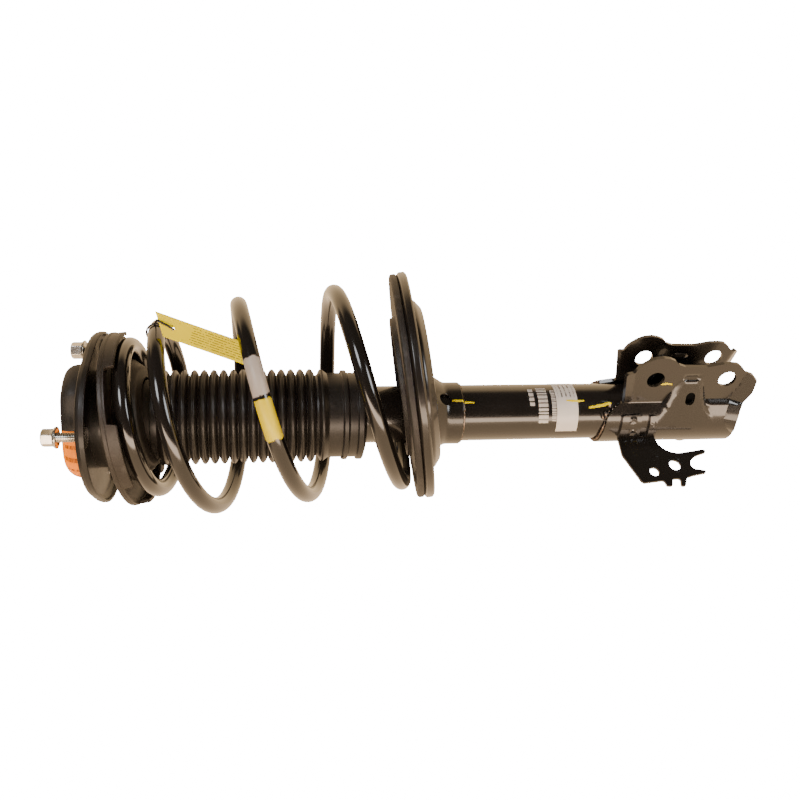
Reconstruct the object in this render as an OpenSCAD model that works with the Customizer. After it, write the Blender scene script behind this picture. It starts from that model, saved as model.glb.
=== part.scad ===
// Front suspension strut: top mount, coil spring, dust boot, damper and knuckle bracket.
// +Z runs along the piston rod towards the top mount, and Z = 0 is the mount plate's top face.
// +X points from the damper towards the knuckle ears, and Y is the axis of the knuckle bolts.

/* [Top mount] */
// Radius of the mount plate towards a stud
plate_r = 76; // [74:0.5:78]
// Radius of the mount plate between two studs
plate_waist_r = 70; // [66:0.5:72]
// Depth of the plate's turned-down lip
plate_lip = 8; // [6:0.5:8]
// Lean of the mount plate away from square to the rod, in degrees
plate_lean = 5; // [2:0.5:6]
// Diameter of the circle that the studs stand on
stud_circle = 126; // [120:1:130]
// Diameter of a stud
stud_d = 8; // [8:1:10]
// Height of the dome over the rubber bush
dome_top = 24; // [23:0.5:28]

/* [Spring] */
// Diameter of the spring wire
wire_d = 14.2; // [12:0.1:15]
// Centre-line radius of the small end coil
coil_top_r = 62.5; // [60:0.5:63]
// Centre-line radius of the full coils
coil_r = 85.2; // [83:0.1:87]
// Number of turns
coil_turns = 4.05; // [4.05:0.05:4.3]
// Lean of the spring's axis from the rod, in degrees
spring_lean = 10; // [9:0.5:10]
// Direction that the spring leans in as it goes down, in degrees from +X
spring_lean_dir = -9; // [-12:1:0]
// Distance between the upper insulator and the lower pad, along the spring
spring_room = 238; // [236:1:240]

/* [Boot] */
// Outer diameter at the boot's crests
boot_crest_d = 82.6; // [80:0.2:84]
// Outer diameter at the boot's valleys
boot_valley_d = 71; // [70:0.5:73]
// Number of crests
boot_crests = 16; // [14:1:16]

/* [Damper] */
// Outer diameter of the strut tube
tube_d = 51; // [51]
// Wall of the strut tube
tube_wall = 2.6; // [2:0.1:3]
// Diameter of the piston rod
rod_d = 22; // [20:1:22]
// Height of the strut tube's top
tube_top = -218; // [-219:0.5:-217]
// Height of the strut tube's closed bottom
tube_bottom = -569; // [-572:1:-566]

/* [Knuckle bracket] */
// Height of the upper knuckle bolt
bolt_a_z = -489.5; // [-491:0.5:-488]
// Distance between the two knuckle bolts
bolt_spacing = 68.5; // [68:0.5:69]
// Distance of the knuckle bolts from the rod's axis
bolt_x = 50; // [49:0.5:51]
// Diameter of the knuckle bolt holes
bolt_hole_d = 16.4; // [15:0.1:17]
// Gap between the two ears
ear_gap = 29; // [28:0.5:30]
// Thickness of the bracket's sheet
ear_t = 3.5; // [3:0.1:4]

/* [Hidden] */
$fn = 96;

tube_r = tube_d / 2;
tube_in_r = tube_r - tube_wall;
rod_r = rod_d / 2;
fit = 0.05;            // running clearance on a radius
gap = 0.3;             // clearance between curved faces that only meet
far = 400;             // larger than the whole object across

// Top mount
sheet = 3;             // pressed sheet of the mount plate
bush_r = 37;           // bore of the plate's collar, filled by the rubber
collar_r = 40;
collar_z = -10;
plate_lean_dir = 129.5;
stud_angles = [-63, 57, 177];
nut_heights = [16, 13.5, 13.5];
shank_h = 6;           // plain length of a stud above the plate
stud_tip = 20;
nut_af = 13;
nut_flange_d = 18;
nut_h = 12;
dome_wall = 2.5;
dome_corner_r = 50;
dome_flat_r = 40;
dome_round = 13;
dome_shoulder = 11;
dome_hole_r = 16;
sticker_dir = -102;
sticker_w = 60;
sticker_top = 19;
spigot_r = 7;          // threaded end of the rod
rod_shoulder = -15;
sleeve_z = [-12, 12];

// Bearing
race_r = [33, 42];
race_h = 4.5;
carrier_z = -16;
ball_r = 2.2;
ball_circle_r = 37.5;
ball_z = carrier_z - race_h - 1.5;
ball_count = 24;

// Spring seats, in the spring's own frame: Z along the spring, origin on the rod's axis
seat_z = -27.5;
skirt_r = 74.6;
skirt_t = 3.5;
skirt_z = [-8, 5.5];
web_z = 0.2;
seat_sheet = 3;
bowl_z = -46.5;        // lowest edge of the seat's bowl, along the rod
pad_z = web_z - spring_room;
pad_t = 6;
pad_in_r = 56;
pad_r = 97.6;
dish_r = 97.6;
seat_shift = [-2.3, -1.9, 0];
step_r = 74;
step_z = pad_z - pad_t - 18;

// Coil: turns measured from the upper end
wire_r = wire_d / 2;
coil_start = 180;      // direction of the wire's upper end, in degrees
grow_turns = [0.73, 2.02];
rise_turns = [-0.2, 2.6];
close_turns = [3.75, 4.07];
coil_z0 = web_z - gap - wire_r;
coil_z1 = pad_z + gap + wire_r;
coil_rings = 172;
coil_sides = 16;

// Boot, from its top cuff down
boot_wall = 1.2;
boot_top = -46.8;
crest_first = -57.8;
boot_pitch = 8.33;
boot_end = -228.5;
neck_r = 33.6;          // inner radius of the boot's upper neck
cuff_r = 37.7;
cuff_rib_r = 40.1;

// Tag, in a frame whose X points out of the card's face and whose Y points away from the knuckle
tag_dir = -50.5;
tag_at = [60, 73.5, -67.75];
tag_lean = 19.8;
tag_l = 69.5;
tag_w = 17.4;
tag_t = 0.8;
tag_hole_x = 0.8;
tag_slant = [-16, -3.4];  // where the card's slanted end meets its upper and lower edge

// Tie, in the same frame: a ring round the coil's wire, and a tail over the card and through its hole
tie_at = [41, 70.9, -54.9];
tie_turn = -25;
tie_r = 8.3;
tie_t = 0.7;
tie_tail = [[44.5, 78.4, -54.9], [60, 79.6, -56.6], [61.3, 77.2, -62], [61.3, 72.8, -69.8], [58.6, 72.8, -69.8]];

// Damper
rebound_z = -239.5;    // underside of the rod guide, which stops the rod at full length
piston_z = -277;
piston_r = 17.4;
inner_tube_r = [17.5, 19];
guide_z = -221;

// Knuckle bracket
bolt_b_z = bolt_a_z - bolt_spacing;
ear_y = ear_gap / 2;
wrap_r = tube_r + ear_t;
bend_x = 24.4;
wrap_z = [-577, -448.5];
ear_z = [-590, -446];
slot_x = [28.6, 33];
slot_z = -526;
slot_r = 4.3;
window_z = [-530, -499];
flange_out = 5;

// Hose bracket
hose_t = 2.5;
hose_a = -105;
hose_holes = [[68.6, -489.3, 4.4], [62.3, -510.5, 5.4]];
straps = [[-482.7, -464.4], [-498.2, -490.9]];
strap_end = -60;

// Welds and labels
bead_r = 1.7;
collar_end_z = -317.5;
label_z = [-424, -404];
label_a = [-95, 70];

// ---------------------------------------------------------------- helpers

// A ring with a rectangular section between two heights
module ring(r_in, r_out, z0, z1) {
    translate([0, 0, z0]) difference() {
        cylinder(r = r_out, h = z1 - z0);
        translate([0, 0, -1]) cylinder(r = r_in, h = z1 - z0 + 2);
    }
}

// A hexagonal prism given by its width across flats
module hex(across_flats, h) {
    cylinder(r = across_flats / sqrt(3), h = h, $fn = 6);
}

// Moves its children into the frame of the leaning mount plate
module on_plate() {
    rotate([0, 0, plate_lean_dir]) rotate([0, plate_lean, 0]) rotate([0, 0, -plate_lean_dir])
        children();
}

// Moves its children into the frame of the leaning spring
module on_spring() {
    translate([0, 0, seat_z])
        rotate([0, 0, spring_lean_dir]) rotate([0, -spring_lean, 0]) rotate([0, 0, -spring_lean_dir])
            children();
}

// Repeats its children at every stud
module at_studs() {
    for (a = stud_angles) rotate([0, 0, a]) translate([stud_circle / 2, 0, 0]) children();
}

// Three round lobes joined into one outline, with a lobe pointing at each given direction
module lobed(lobe_r, waist_r, turn) {
    shift = (lobe_r - waist_r) * 2;
    hull() {
        for (a = stud_angles)
            rotate(a + turn) translate([shift, 0]) circle(r = lobe_r - shift);
    }
}

function smooth(x) = let (c = min(max(x, 0), 1)) c * c * (3 - 2 * c);
function smooth_sum(x) = let (c = min(max(x, 0), 1)) c * c * c - c * c * c * c / 2 + max(x - 1, 0);
function share(x, span) = (x - span[0]) / (span[1] - span[0]);
function ramp(t, span) = (span[1] - span[0]) * smooth_sum(share(t, span));

// ---------------------------------------------------------------- top mount

// Pressed plate: a rounded triangle with a turned-down lip and a collar for the rubber bush
module top_mount_plate() {
    color("#1b1816") difference() {
        union() {
            on_plate() {
                translate([0, 0, -sheet]) linear_extrude(sheet) lobed(plate_r, plate_waist_r, 0);
                translate([0, 0, -plate_lip]) linear_extrude(plate_lip) difference() {
                    lobed(plate_r, plate_waist_r, 0);
                    lobed(plate_r - sheet, plate_waist_r - sheet, 0);
                }
            }
            translate([0, 0, collar_z]) cylinder(r = collar_r, h = -collar_z - 1);
        }
        on_plate() cylinder(r = far, h = far);
        translate([0, 0, -far / 2]) cylinder(r = bush_r, h = far);
        on_plate() at_studs() translate([0, 0, -far / 2]) cylinder(r = stud_d / 2 + 1.05, h = far);
    }
}

// The dome's outline, pulled in by a margin: flats face the studs, corners lie between them
module dome_outline(margin) {
    intersection() {
        circle(r = dome_corner_r - margin);
        rotate(stud_angles[0] + 60) circle(r = (dome_flat_r - margin) * 2, $fn = 3);
    }
}

// The dome as a closed form with a rounded upper edge
module dome_form(margin) {
    top = dome_top - margin;
    r = dome_corner_r - margin;
    intersection() {
        translate([0, 0, -30]) linear_extrude(60) dome_outline(margin);
        rotate_extrude() polygon(concat(
            [[0, -30], [r, -30], [r, top - dome_shoulder]],
            [for (a = [15 : 15 : 90]) [r - dome_round * (1 - cos(a)), top - dome_shoulder * (1 - sin(a))]],
            [[0, top]]
        ));
    }
}

// Pressed dome over the rubber bush, open at its centre above the rod nut
module mount_dome() {
    color("#2a2624") difference() {
        dome_form(0);
        dome_form(dome_wall);
        cylinder(r = dome_hole_r, h = dome_top * 2);
        on_plate() translate([-far / 2, -far / 2, -far]) cube([far, far, far]);
    }
}

// Headed studs pressed through the plate
module mount_studs() {
    color("#b9b8b0") on_plate() at_studs() {
        translate([0, 0, -sheet - 3]) cylinder(r = 9.5, h = 3);
        translate([0, 0, -sheet]) cylinder(r = stud_d / 2 + 1, h = sheet);
        cylinder(r = stud_d / 2, h = shank_h);
        translate([0, 0, shank_h]) cylinder(r = stud_d / 2 - 0.1, h = stud_tip - shank_h - 1);
        translate([0, 0, stud_tip - 1]) cylinder(r1 = stud_d / 2 - 0.1, r2 = stud_d / 2 - 0.8, h = 1);
    }
}

// Flange nuts, started on the studs at different heights
module mount_nuts() {
    color("#cfcdc8") on_plate() for (k = [0 : 2])
        rotate([0, 0, stud_angles[k]]) translate([stud_circle / 2, 0, nut_heights[k]]) difference() {
            union() {
                cylinder(r = nut_flange_d / 2, h = 1.6);
                translate([0, 0, 1.6]) cylinder(r1 = nut_flange_d / 2, r2 = 7.5, h = 1.6);
                intersection() {
                    hex(nut_af, nut_h);
                    translate([0, 0, -1]) cylinder(r1 = 20.2, r2 = 7.2, h = nut_h + 1);
                }
            }
            translate([0, 0, -1]) cylinder(r = stud_d / 2 + 0.02, h = nut_h + 2);
        }
}

// Rubber bush between the plate's collar and the inner sleeve
module mount_rubber() {
    color("#141414") rotate_extrude() polygon([
        [12.5, sleeve_z[0]], [20, sleeve_z[0]], [26, collar_z], [bush_r, collar_z],
        [bush_r, 4], [32, 9], [22, 11], [12.5, 10]
    ]);
}

// Steel sleeve clamped on the rod's threaded end
module inner_sleeve() {
    color("#8d8c88") ring(spigot_r + 0.1, 12.5, sleeve_z[0], sleeve_z[1]);
}

module upper_washer() {
    color("#a3a19b") ring(spigot_r + 0.1, 18, sleeve_z[1], sleeve_z[1] + 2.5);
}

module lower_washer() {
    color("#a3a19b") ring(spigot_r + 0.1, 24, rod_shoulder, sleeve_z[0]);
}

// Lock nut of the piston rod
module rod_nut() {
    color("#c4c2bb") translate([0, 0, sleeve_z[1] + 2.5]) difference() {
        hex(22, 8);
        translate([0, 0, -1]) cylinder(r = spigot_r + 0.02, h = 10);
    }
}

// Cup under the plate that carries the bearing: level below, cut to the leaning plate above
module bearing_carrier() {
    color("#2b2a28") difference() {
        ring(collar_r + 0.1, race_r[1], carrier_z, 10);
        on_plate() translate([-far / 2, -far / 2, -sheet]) cube([far, far, far]);
    }
    color("#2b2a28") ring(race_r[0], race_r[1], carrier_z, collar_z);
}

// Upper race with its ball groove
module bearing_upper_race() {
    color("#3a3a38") difference() {
        ring(race_r[0], race_r[1], carrier_z - race_h, carrier_z);
        ball_groove();
    }
}

module ball_groove() {
    translate([0, 0, ball_z]) rotate_extrude()
        translate([ball_circle_r, 0]) circle(r = ball_r + 0.15, $fn = 32);
}

// ---------------------------------------------------------------- damper rod and piston

// Polished rod with a threaded upper end and a spigot for the piston
module piston_rod() {
    color("#d9dadb") {
        translate([0, 0, piston_z + 20]) cylinder(r = rod_r, h = rod_shoulder - piston_z - 20);
        translate([0, 0, piston_z - 8]) cylinder(r = spigot_r, h = 28);
        translate([0, 0, rod_shoulder]) cylinder(r = spigot_r, h = sleeve_z[1] + 12 - rod_shoulder);
    }
}

// Foam bump stop on the rod, necked in between its bulges
module bump_stop() {
    top = rod_shoulder;
    color("#c9b458") rotate_extrude() polygon([
        [rod_r + 0.1, top], [24, top], [25, top - 4], [25, top - 16], [20, top - 22],
        [23, top - 30], [23, top - 38], [18, top - 44], [20, top - 51], [20, top - 58],
        [15, top - 74], [rod_r + 1.5, top - 79], [rod_r + 0.1, top - 79]
    ]);
}

// Piston with six oil passages
module piston() {
    color("#8f8f8c") difference() {
        ring(spigot_r, piston_r - 0.6, piston_z, piston_z + 20);
        ring(piston_r - 2, piston_r + 1, piston_z + 4, piston_z + 16);
        for (a = [0 : 60 : 300]) rotate([0, 0, a])
            translate([11.5, 0, piston_z - 1]) cylinder(r = 1.8, h = 22, $fn = 24);
    }
}

// Low-friction band around the piston
module piston_ring() {
    color("#5d4a34") ring(piston_r - 2, piston_r, piston_z + 4, piston_z + 16);
}

module piston_nut() {
    color("#9a9994") translate([0, 0, piston_z - 7]) difference() {
        hex(19, 7);
        translate([0, 0, -1]) cylinder(r = spigot_r, h = 9);
    }
}

// Rubber ring that cushions the end of the rebound stroke
module rebound_stop() {
    color("#20201f") ring(rod_r, 16, piston_z + 20, rebound_z - 0.5);
}

// ---------------------------------------------------------------- label on the dome

// Plain sticker wrapped round one corner of the dome, just above the plate
module mount_label() {
    color("#f08a1d") intersection() {
        difference() {
            linear_extrude(sticker_top) dome_outline(-gap);
            translate([0, 0, -1]) linear_extrude(far) dome_outline(0);
        }
        rotate([0, 0, sticker_dir]) translate([20, -sticker_w / 2, 0]) cube([40, sticker_w, far]);
        on_plate() translate([-far / 2, -far / 2, 0]) cube([far, far, far]);
    }
}

// ---------------------------------------------------------------- bearing and upper seat

module bearing_balls() {
    color("#dcdcdc") for (k = [0 : ball_count - 1])
        rotate([0, 0, k * 360 / ball_count]) translate([ball_circle_r, 0, ball_z]) sphere(r = ball_r);
}

module bearing_lower_race() {
    z = ball_z - 1.5;
    color("#3a3a38") difference() {
        ring(race_r[0], race_r[1], z - race_h, z);
        ball_groove();
    }
}

// Pressed upper seat: a leaning flange around a bowl that holds the bearing
module upper_spring_seat() {
    race_floor = ball_z - 1.5 - race_h;
    color("#1d1a18") difference() {
        union() {
            on_spring() ring(40, skirt_r - skirt_t, web_z + 2.5, web_z + 2.5 + seat_sheet);
            rotate_extrude() polygon([
                [31, race_floor], [31, bowl_z], [35, bowl_z], [40, bowl_z + 2], [46, bowl_z + 9],
                [50, bowl_z + 16], [52, bowl_z + 24], [49, bowl_z + 24], [44.5, race_floor]
            ]);
            ring(31, 33.5, bowl_z - 10, bowl_z);
        }
        translate([0, 0, race_floor]) cylinder(r = 44.5, h = 60);
        on_spring() translate([0, 0, web_z + 2.5 + seat_sheet]) cylinder(r = far / 2, h = 60);
    }
}

// Rubber insulator: a web against the end coil, a skirt around it and windows in the skirt
module upper_insulator() {
    windows = [-119, -34.5, 55.5, 145.5];
    color("#242019") on_spring() difference() {
        union() {
            ring(53.5, skirt_r - skirt_t, web_z, web_z + 2.5);
            ring(skirt_r - skirt_t, skirt_r, skirt_z[0], skirt_z[1]);
        }
        for (a = windows) rotate([0, 0, a])
            translate([skirt_r - 8, -24, skirt_z[0] - 1]) cube([16, 48, 9]);
    }
}

// ---------------------------------------------------------------- coil spring

function coil_radius(t) = coil_top_r + (coil_r - coil_top_r) * smooth(share(t, grow_turns));
function coil_fall(t) = ramp(t, rise_turns) - ramp(t, close_turns) - ramp(0, rise_turns);
function bell(x) = exp(-x * x);
function coil_sway(t) = 4 * bell((t - 1.68) / 0.18) - 7 * bell((t - 1.17) / 0.14);
function coil_height(t) = coil_z0 + (coil_z1 - coil_z0) * coil_fall(t) / coil_fall(coil_turns) + coil_sway(t);
function coil_point(t) =
    let (a = coil_start - 360 * t)
    [coil_radius(t) * cos(a), coil_radius(t) * sin(a), coil_height(t)];

function unit(v) = v / norm(v);

// One ring of points around the wire's centre line
function coil_section(t) =
    let (c = coil_point(t), d = unit(coil_point(t + 0.002) - coil_point(t - 0.002)))
    let (side = unit(cross(d, [0, 0, 1])), up = cross(side, d))
    [for (k = [0 : coil_sides - 1])
        let (b = 360 * k / coil_sides) c + wire_r * (cos(b) * side + sin(b) * up)];

module coil_spring() {
    last = coil_rings - 1;
    points = [for (i = [0 : last]) each coil_section(coil_turns * i / last)];
    walls = [for (i = [0 : last - 1]) for (k = [0 : coil_sides - 1])
        let (a = i * coil_sides, b = a + coil_sides, n = (k + 1) % coil_sides)
        each [[a + k, a + n, b + n], [a + k, b + n, b + k]]];
    start_cap = [[for (k = [coil_sides - 1 : -1 : 0]) k]];
    end_cap = [[for (k = [0 : coil_sides - 1]) last * coil_sides + k]];
    color("#151312") on_spring() polyhedron(points, concat(walls, start_cap, end_cap), convexity = 8);
}

// ---------------------------------------------------------------- dust boot

// Outer line of the boot from top to bottom, as [radius, height]
function boot_line(out) = concat(
    [[neck_r + out, boot_top], [neck_r + out, crest_first + boot_pitch / 2]],
    [for (k = [0 : boot_crests - 1]) let (z = crest_first - k * boot_pitch) each [
        [boot_crest_d / 2 - boot_wall + out, z + 1], [boot_crest_d / 2 - boot_wall + out, z - 1],
        [boot_valley_d / 2 - boot_wall + out, z - boot_pitch / 2 + 0.8],
        [boot_valley_d / 2 - boot_wall + out, z - boot_pitch / 2 - 0.8]
    ]],
    [
        [cuff_r - boot_wall + out, crest_first - boot_crests * boot_pitch - 7.5],
        [cuff_r - boot_wall + out, boot_end]
    ]
);

function reversed(list) = [for (k = [len(list) - 1 : -1 : 0]) list[k]];

// Convoluted rubber boot with a ribbed lower cuff
module dust_boot() {
    color("#1c1a18") {
        rotate_extrude() polygon(concat(boot_line(boot_wall), reversed(boot_line(0))));
        ring(cuff_r - 0.2, cuff_rib_r, -214, -211);
        ring(cuff_r - 0.2, cuff_rib_r, boot_end, -223.5);
    }
}

// Pale plastic ring that guides the boot's cuff on the strut tube
module boot_ring() {
    color("#d8d4c6") {
        ring(tube_r + gap, cuff_r - boot_wall - 0.1, boot_end + 1.5, boot_end + 5);
        ring(tube_r + gap, 32, boot_end - 2, boot_end + 1.5);
    }
}

// ---------------------------------------------------------------- warning tag

// The card's own frame: X down along the card from its tied end, Z out of its printed face
module tag_frame() {
    rotate([0, 0, tag_dir]) translate(tag_at) rotate([0, 90, 0]) rotate([0, 0, -tag_lean]) children();
}

// Plain card tied to the first free coil
module warning_tag() {
    color("#f6e230") tag_frame() difference() {
        translate([0, 0, -tag_t / 2]) linear_extrude(tag_t)
            polygon([[tag_slant[0], tag_w / 2], [tag_slant[1], -tag_w / 2], [tag_l, -tag_w / 2], [tag_l, tag_w / 2]]);
        translate([tag_hole_x, 0, -1]) cylinder(r = 1.8, h = 2);
    }
}

// Nylon tie through the card's hole and around the wire of the coil
module tag_tie() {
    color("#161616") rotate([0, 0, tag_dir]) {
        translate(tie_at) rotate([0, 0, tie_turn]) rotate([0, 90, 0]) rotate_extrude()
            translate([tie_r, 0]) circle(r = tie_t, $fn = 24);
        for (k = [0 : len(tie_tail) - 2]) hull() {
            translate(tie_tail[k]) sphere(r = tie_t, $fn = 16);
            translate(tie_tail[k + 1]) sphere(r = tie_t, $fn = 16);
        }
    }
}

// ---------------------------------------------------------------- strut tube and its contents

module strut_tube() {
    color("#161412") ring(tube_in_r, tube_r, tube_bottom, tube_top);
}

// Steel cap rolled over the tube's mouth, which meets the bump stop
module tube_cap() {
    color("#3b3a37") ring(rod_r + 1.5, tube_r, tube_top, tube_top + 2.5);
}

module tube_end_cap() {
    color("#161412") {
        translate([0, 0, tube_bottom]) cylinder(r = tube_in_r, h = 3);
        translate([0, 0, tube_bottom - 1]) cylinder(r = 14, h = 1);
    }
}

// Rod guide with its bearing bore
module rod_guide() {
    color("#77746c") {
        ring(rod_r + fit, tube_in_r, rebound_z + 6, guide_z - 1);
        ring(rod_r + fit, inner_tube_r[0], rebound_z, rebound_z + 6);
    }
}

module oil_seal() {
    color("#2d2b29") ring(rod_r + fit, tube_in_r, guide_z - 1, tube_top);
}

// Inner cylinder that the piston runs in
module pressure_tube() {
    color("#a8a6a0") ring(inner_tube_r[0], inner_tube_r[1], tube_bottom + 15, rebound_z + 6);
}

// Valve at the foot of the inner cylinder
module base_valve() {
    z = tube_bottom + 3;
    color("#8a8a86") difference() {
        union() {
            translate([0, 0, z]) cylinder(r = inner_tube_r[1], h = 12);
            translate([0, 0, z + 12]) cylinder(r = inner_tube_r[0], h = 6);
        }
        for (a = [0 : 90 : 270]) rotate([0, 0, a])
            translate([10, 0, z - 1]) cylinder(r = 2, h = 20, $fn = 24);
    }
}

// ---------------------------------------------------------------- lower seat

// Pressed dish that leans with the spring, and a collar that follows the tube
module lower_spring_seat() {
    rim_z = pad_z - pad_t;
    color("#171412") difference() {
        union() {
            on_spring() translate(seat_shift) rotate_extrude() polygon([
                [step_r, rim_z - seat_sheet - gap], [dish_r - 5, rim_z - seat_sheet - gap],
                [dish_r - 4, rim_z - 8], [dish_r - 1, rim_z - 9], [dish_r + 1, rim_z - 7],
                [dish_r + 1, rim_z - 2], [dish_r - 1, rim_z - gap], [step_r, rim_z - gap],
                [step_r - 3, rim_z - 3], [step_r - 3, step_z + 6], [step_r - 9, step_z + seat_sheet],
                [0, step_z + seat_sheet], [0, step_z], [step_r - 7, step_z], [step_r, step_z + 5]
            ]);
            translate([0, 0, -303]) cylinder(r1 = tube_r + 2.7, r2 = tube_r + 13, h = 20);
            ring(tube_r + 0.1, tube_r + 2.7, collar_end_z, -300);
        }
        translate([0, 0, -400]) cylinder(r = tube_r + 0.1, h = 300);
        on_spring() translate(seat_shift + [0, 0, step_z + seat_sheet]) cylinder(r = step_r - 9, h = 60);
        rotate([0, 0, -25]) translate([tube_r - 3, 0, -301]) rotate([0, 90, 0]) cylinder(r = 5.6, h = 12);
    }
}

// Rubber pad that the lower coil rests on, cut away beside the tube
module lower_pad() {
    color("#1f1c1a") difference() {
        on_spring() translate(seat_shift) {
            ring(pad_in_r, pad_r, pad_z - pad_t, pad_z);
            ring(pad_in_r, pad_in_r + 4, pad_z, pad_z + 4);
        }
        translate([0, 0, -far]) cylinder(r = tube_r + 1.5, h = far);
    }
}

// ---------------------------------------------------------------- knuckle bracket

// Side view of an ear, drawn as [distance from the rod, height]
module ear_outline() {
    a = bolt_a_z;
    b = bolt_b_z;
    polygon([
        [8, a + 42], [16, a + 38], [24, a + 25], [57.7, a + 31], [57.7, a + 22], [65, a + 18],
        [70.5, a + 11], [73.1, a + 6], [74.3, a - 2], [73.2, a - 8], [70.7, a - 13.8],
        [66.5, a - 18], [64.3, a - 24.5], [64, b + 23], [65.4, b + 16], [67.1, b + 8],
        [67.3, b - 1], [66.7, b - 6], [62, b - 12], [55.6, b - 18], [52.5, b - 25],
        [48.1, b - 28], [38.3, b - 30], [23.3, b - 28.5], [8, b - 22]
    ]);
}

// The bracket's section across the rod: round the tube, then narrowing to the two ears
module bracket_section(inset) {
    side = ear_y + ear_t - inset;
    r = wrap_r - inset;
    circle(r = r);
    translate([0, -side]) square([100, 2 * side]);
    polygon([[9, -r + 1.4], [9, r - 1.4], [bend_x, side], [bend_x, -side]]);
}

// Pressed gusset on the near ear, sloping from the wrap to the ear between its two bolt holes
module ear_rib() {
    side = ear_y + ear_t;
    intersection() {
        translate([0, 0, bolt_b_z]) linear_extrude(bolt_spacing)
            polygon([[8, -wrap_r + 0.6], [53, -side - 0.4], [53, -side + 1], [bend_x, -side + 1], [10, -wrap_r + 4]]);
        rotate([90, 0, 0]) linear_extrude(far) translate([0, bolt_a_z])
            polygon([[8, -10], [15, -10.5], [24, -12.5], [40, -19], [54, -24], [54, -43], [24, -55], [8, -60]]);
    }
}

// Folded bracket: a wrap welded round the tube, two ears with bolt holes, ribs and a slot
module knuckle_bracket() {
    color("#171412") difference() {
        union() {
            intersection() {
                translate([0, 0, ear_z[0]]) linear_extrude(ear_z[1] - ear_z[0]) difference() {
                    bracket_section(0);
                    bracket_section(ear_t);
                    circle(r = tube_r + 0.1);
                }
                rotate([90, 0, 0]) translate([0, 0, -50]) linear_extrude(100) ear_outline();
            }
            translate([0, 0, wrap_z[0]]) linear_extrude(wrap_z[1] - wrap_z[0]) difference() {
                circle(r = wrap_r);
                circle(r = tube_r + 0.1);
                translate([16, -50]) square([100, 100]);
            }
            for (s = [0, 1]) mirror([0, s, 0]) ear_rib();
            for (s = [0, 1]) mirror([0, s, 0]) end_flange();
        }
        for (z = [bolt_a_z, bolt_b_z]) translate([bolt_x, -60, z]) rotate([-90, 0, 0])
            cylinder(r = bolt_hole_d / 2, h = 120);
        for (x = slot_x) translate([x, -60, slot_z]) rotate([-90, 0, 0])
            cylinder(r = slot_r, h = 120);
        translate([slot_x[0], -60, slot_z - slot_r]) cube([slot_x[1] - slot_x[0], 120, 2 * slot_r]);
        translate([0, 0, -far * 2]) cylinder(r = tube_r + 0.1, h = far * 2);
        translate([-60, -30, window_z[0]]) cube([60 - 17.5, 60, window_z[1] - window_z[0]]);
    }
}

// Lip turned outwards along the slanted lower end of an ear
module end_flange() {
    z = bolt_b_z - 18;
    translate([55.6, -ear_y - ear_t - flange_out, z]) rotate([0, -atan2(10, 7.4), 0])
        translate([-12.4, 0, -ear_t]) cube([12.4, flange_out + ear_t, ear_t]);
}

// ---------------------------------------------------------------- hose bracket

// Face of the hose bracket, drawn as [distance from the rod, height]
module hose_outline() {
    polygon([
        [29.6, -463.6], [50, -463.2], [78.2, -474.6], [79.9, -476.9], [77.8, -496.1],
        [83.6, -497.4], [83.8, -502.5], [76.6, -504.5], [76.2, -512.2], [84, -510.7],
        [84.2, -514.8], [75.6, -518.6], [73.6, -524.9], [71.3, -537.8], [68.8, -538.9],
        [66.5, -536.7], [66.7, -528.6], [64.6, -526.3], [61.3, -526], [58.4, -527],
        [55.9, -529.2], [53.4, -532.7], [51.8, -536.3], [49.6, -544], [46.5, -544.7],
        [46.4, -540.6], [48.6, -525.2], [49.5, -518.3], [49.2, -514.6], [47.7, -509.7],
        [45.5, -505.9], [42.5, -502.7], [38.8, -500.6], [33.3, -499.2], [29.6, -499]
    ]);
}

// Plate for a hose and a cable, standing out from the bracket, with two straps that wrap its front
module hose_bracket() {
    y = wrap_r + gap;
    color("#171412") {
        rotate(hose_a) difference() {
            translate([0, hose_t / 2, 0]) rotate([90, 0, 0]) linear_extrude(hose_t) hose_outline();
            for (h = hose_holes) translate([h[0], 30, h[1]]) rotate([90, 0, 0]) cylinder(r = h[2], h = 60);
        }
        for (z = straps) translate([0, 0, z[0]]) linear_extrude(z[1] - z[0]) intersection() {
            difference() {
                circle(r = y + hose_t);
                circle(r = y);
            }
            polygon([[0, 0], for (a = [hose_a - 2, strap_end]) far * [cos(a), sin(a)]]);
        }
    }
}

// ---------------------------------------------------------------- welds and labels

// Weld beads where the bracket meets the tube and where the lower seat's collar ends
module weld_beads() {
    color("#26221f") for (z = [wrap_z[1] + 1, collar_end_z - 0.6]) translate([0, 0, z]) rotate_extrude()
        translate([tube_r + 1.8, 0]) circle(r = bead_r, $fn = 32);
}

// Plain paper band round the near side of the tube
module tube_label() {
    color("#eceae4") linear_extrude_band(tube_r, tube_r + 0.25, label_z, label_a);
}

// Part of a ring between two heights and two directions
module linear_extrude_band(r_in, r_out, z, a) {
    translate([0, 0, z[0]]) rotate([0, 0, a[0]]) rotate_extrude(angle = a[1] - a[0])
        translate([r_in, 0]) square([r_out - r_in, z[1] - z[0]]);
}

top_mount_plate();
mount_dome();
mount_studs();
mount_nuts();
mount_rubber();
inner_sleeve();
upper_washer();
lower_washer();
rod_nut();
bearing_carrier();
bearing_upper_race();
piston_rod();
bump_stop();
piston();
piston_ring();
piston_nut();
rebound_stop();
mount_label();
bearing_balls();
bearing_lower_race();
upper_spring_seat();
upper_insulator();
coil_spring();
dust_boot();
warning_tag();
tag_tie();
boot_ring();
strut_tube();
tube_cap();
tube_end_cap();
rod_guide();
oil_seal();
pressure_tube();
base_valve();
lower_spring_seat();
lower_pad();
knuckle_bracket();
hose_bracket();
weld_beads();
tube_label();
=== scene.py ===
"""Looks of the front suspension strut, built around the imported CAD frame.
Sizes in the piece functions are millimetres in the row frame: Z runs up the piston rod, X towards
the knuckle ears, and Y along the knuckle bolts. Every mesh is scaled to metres as it is made."""

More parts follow.
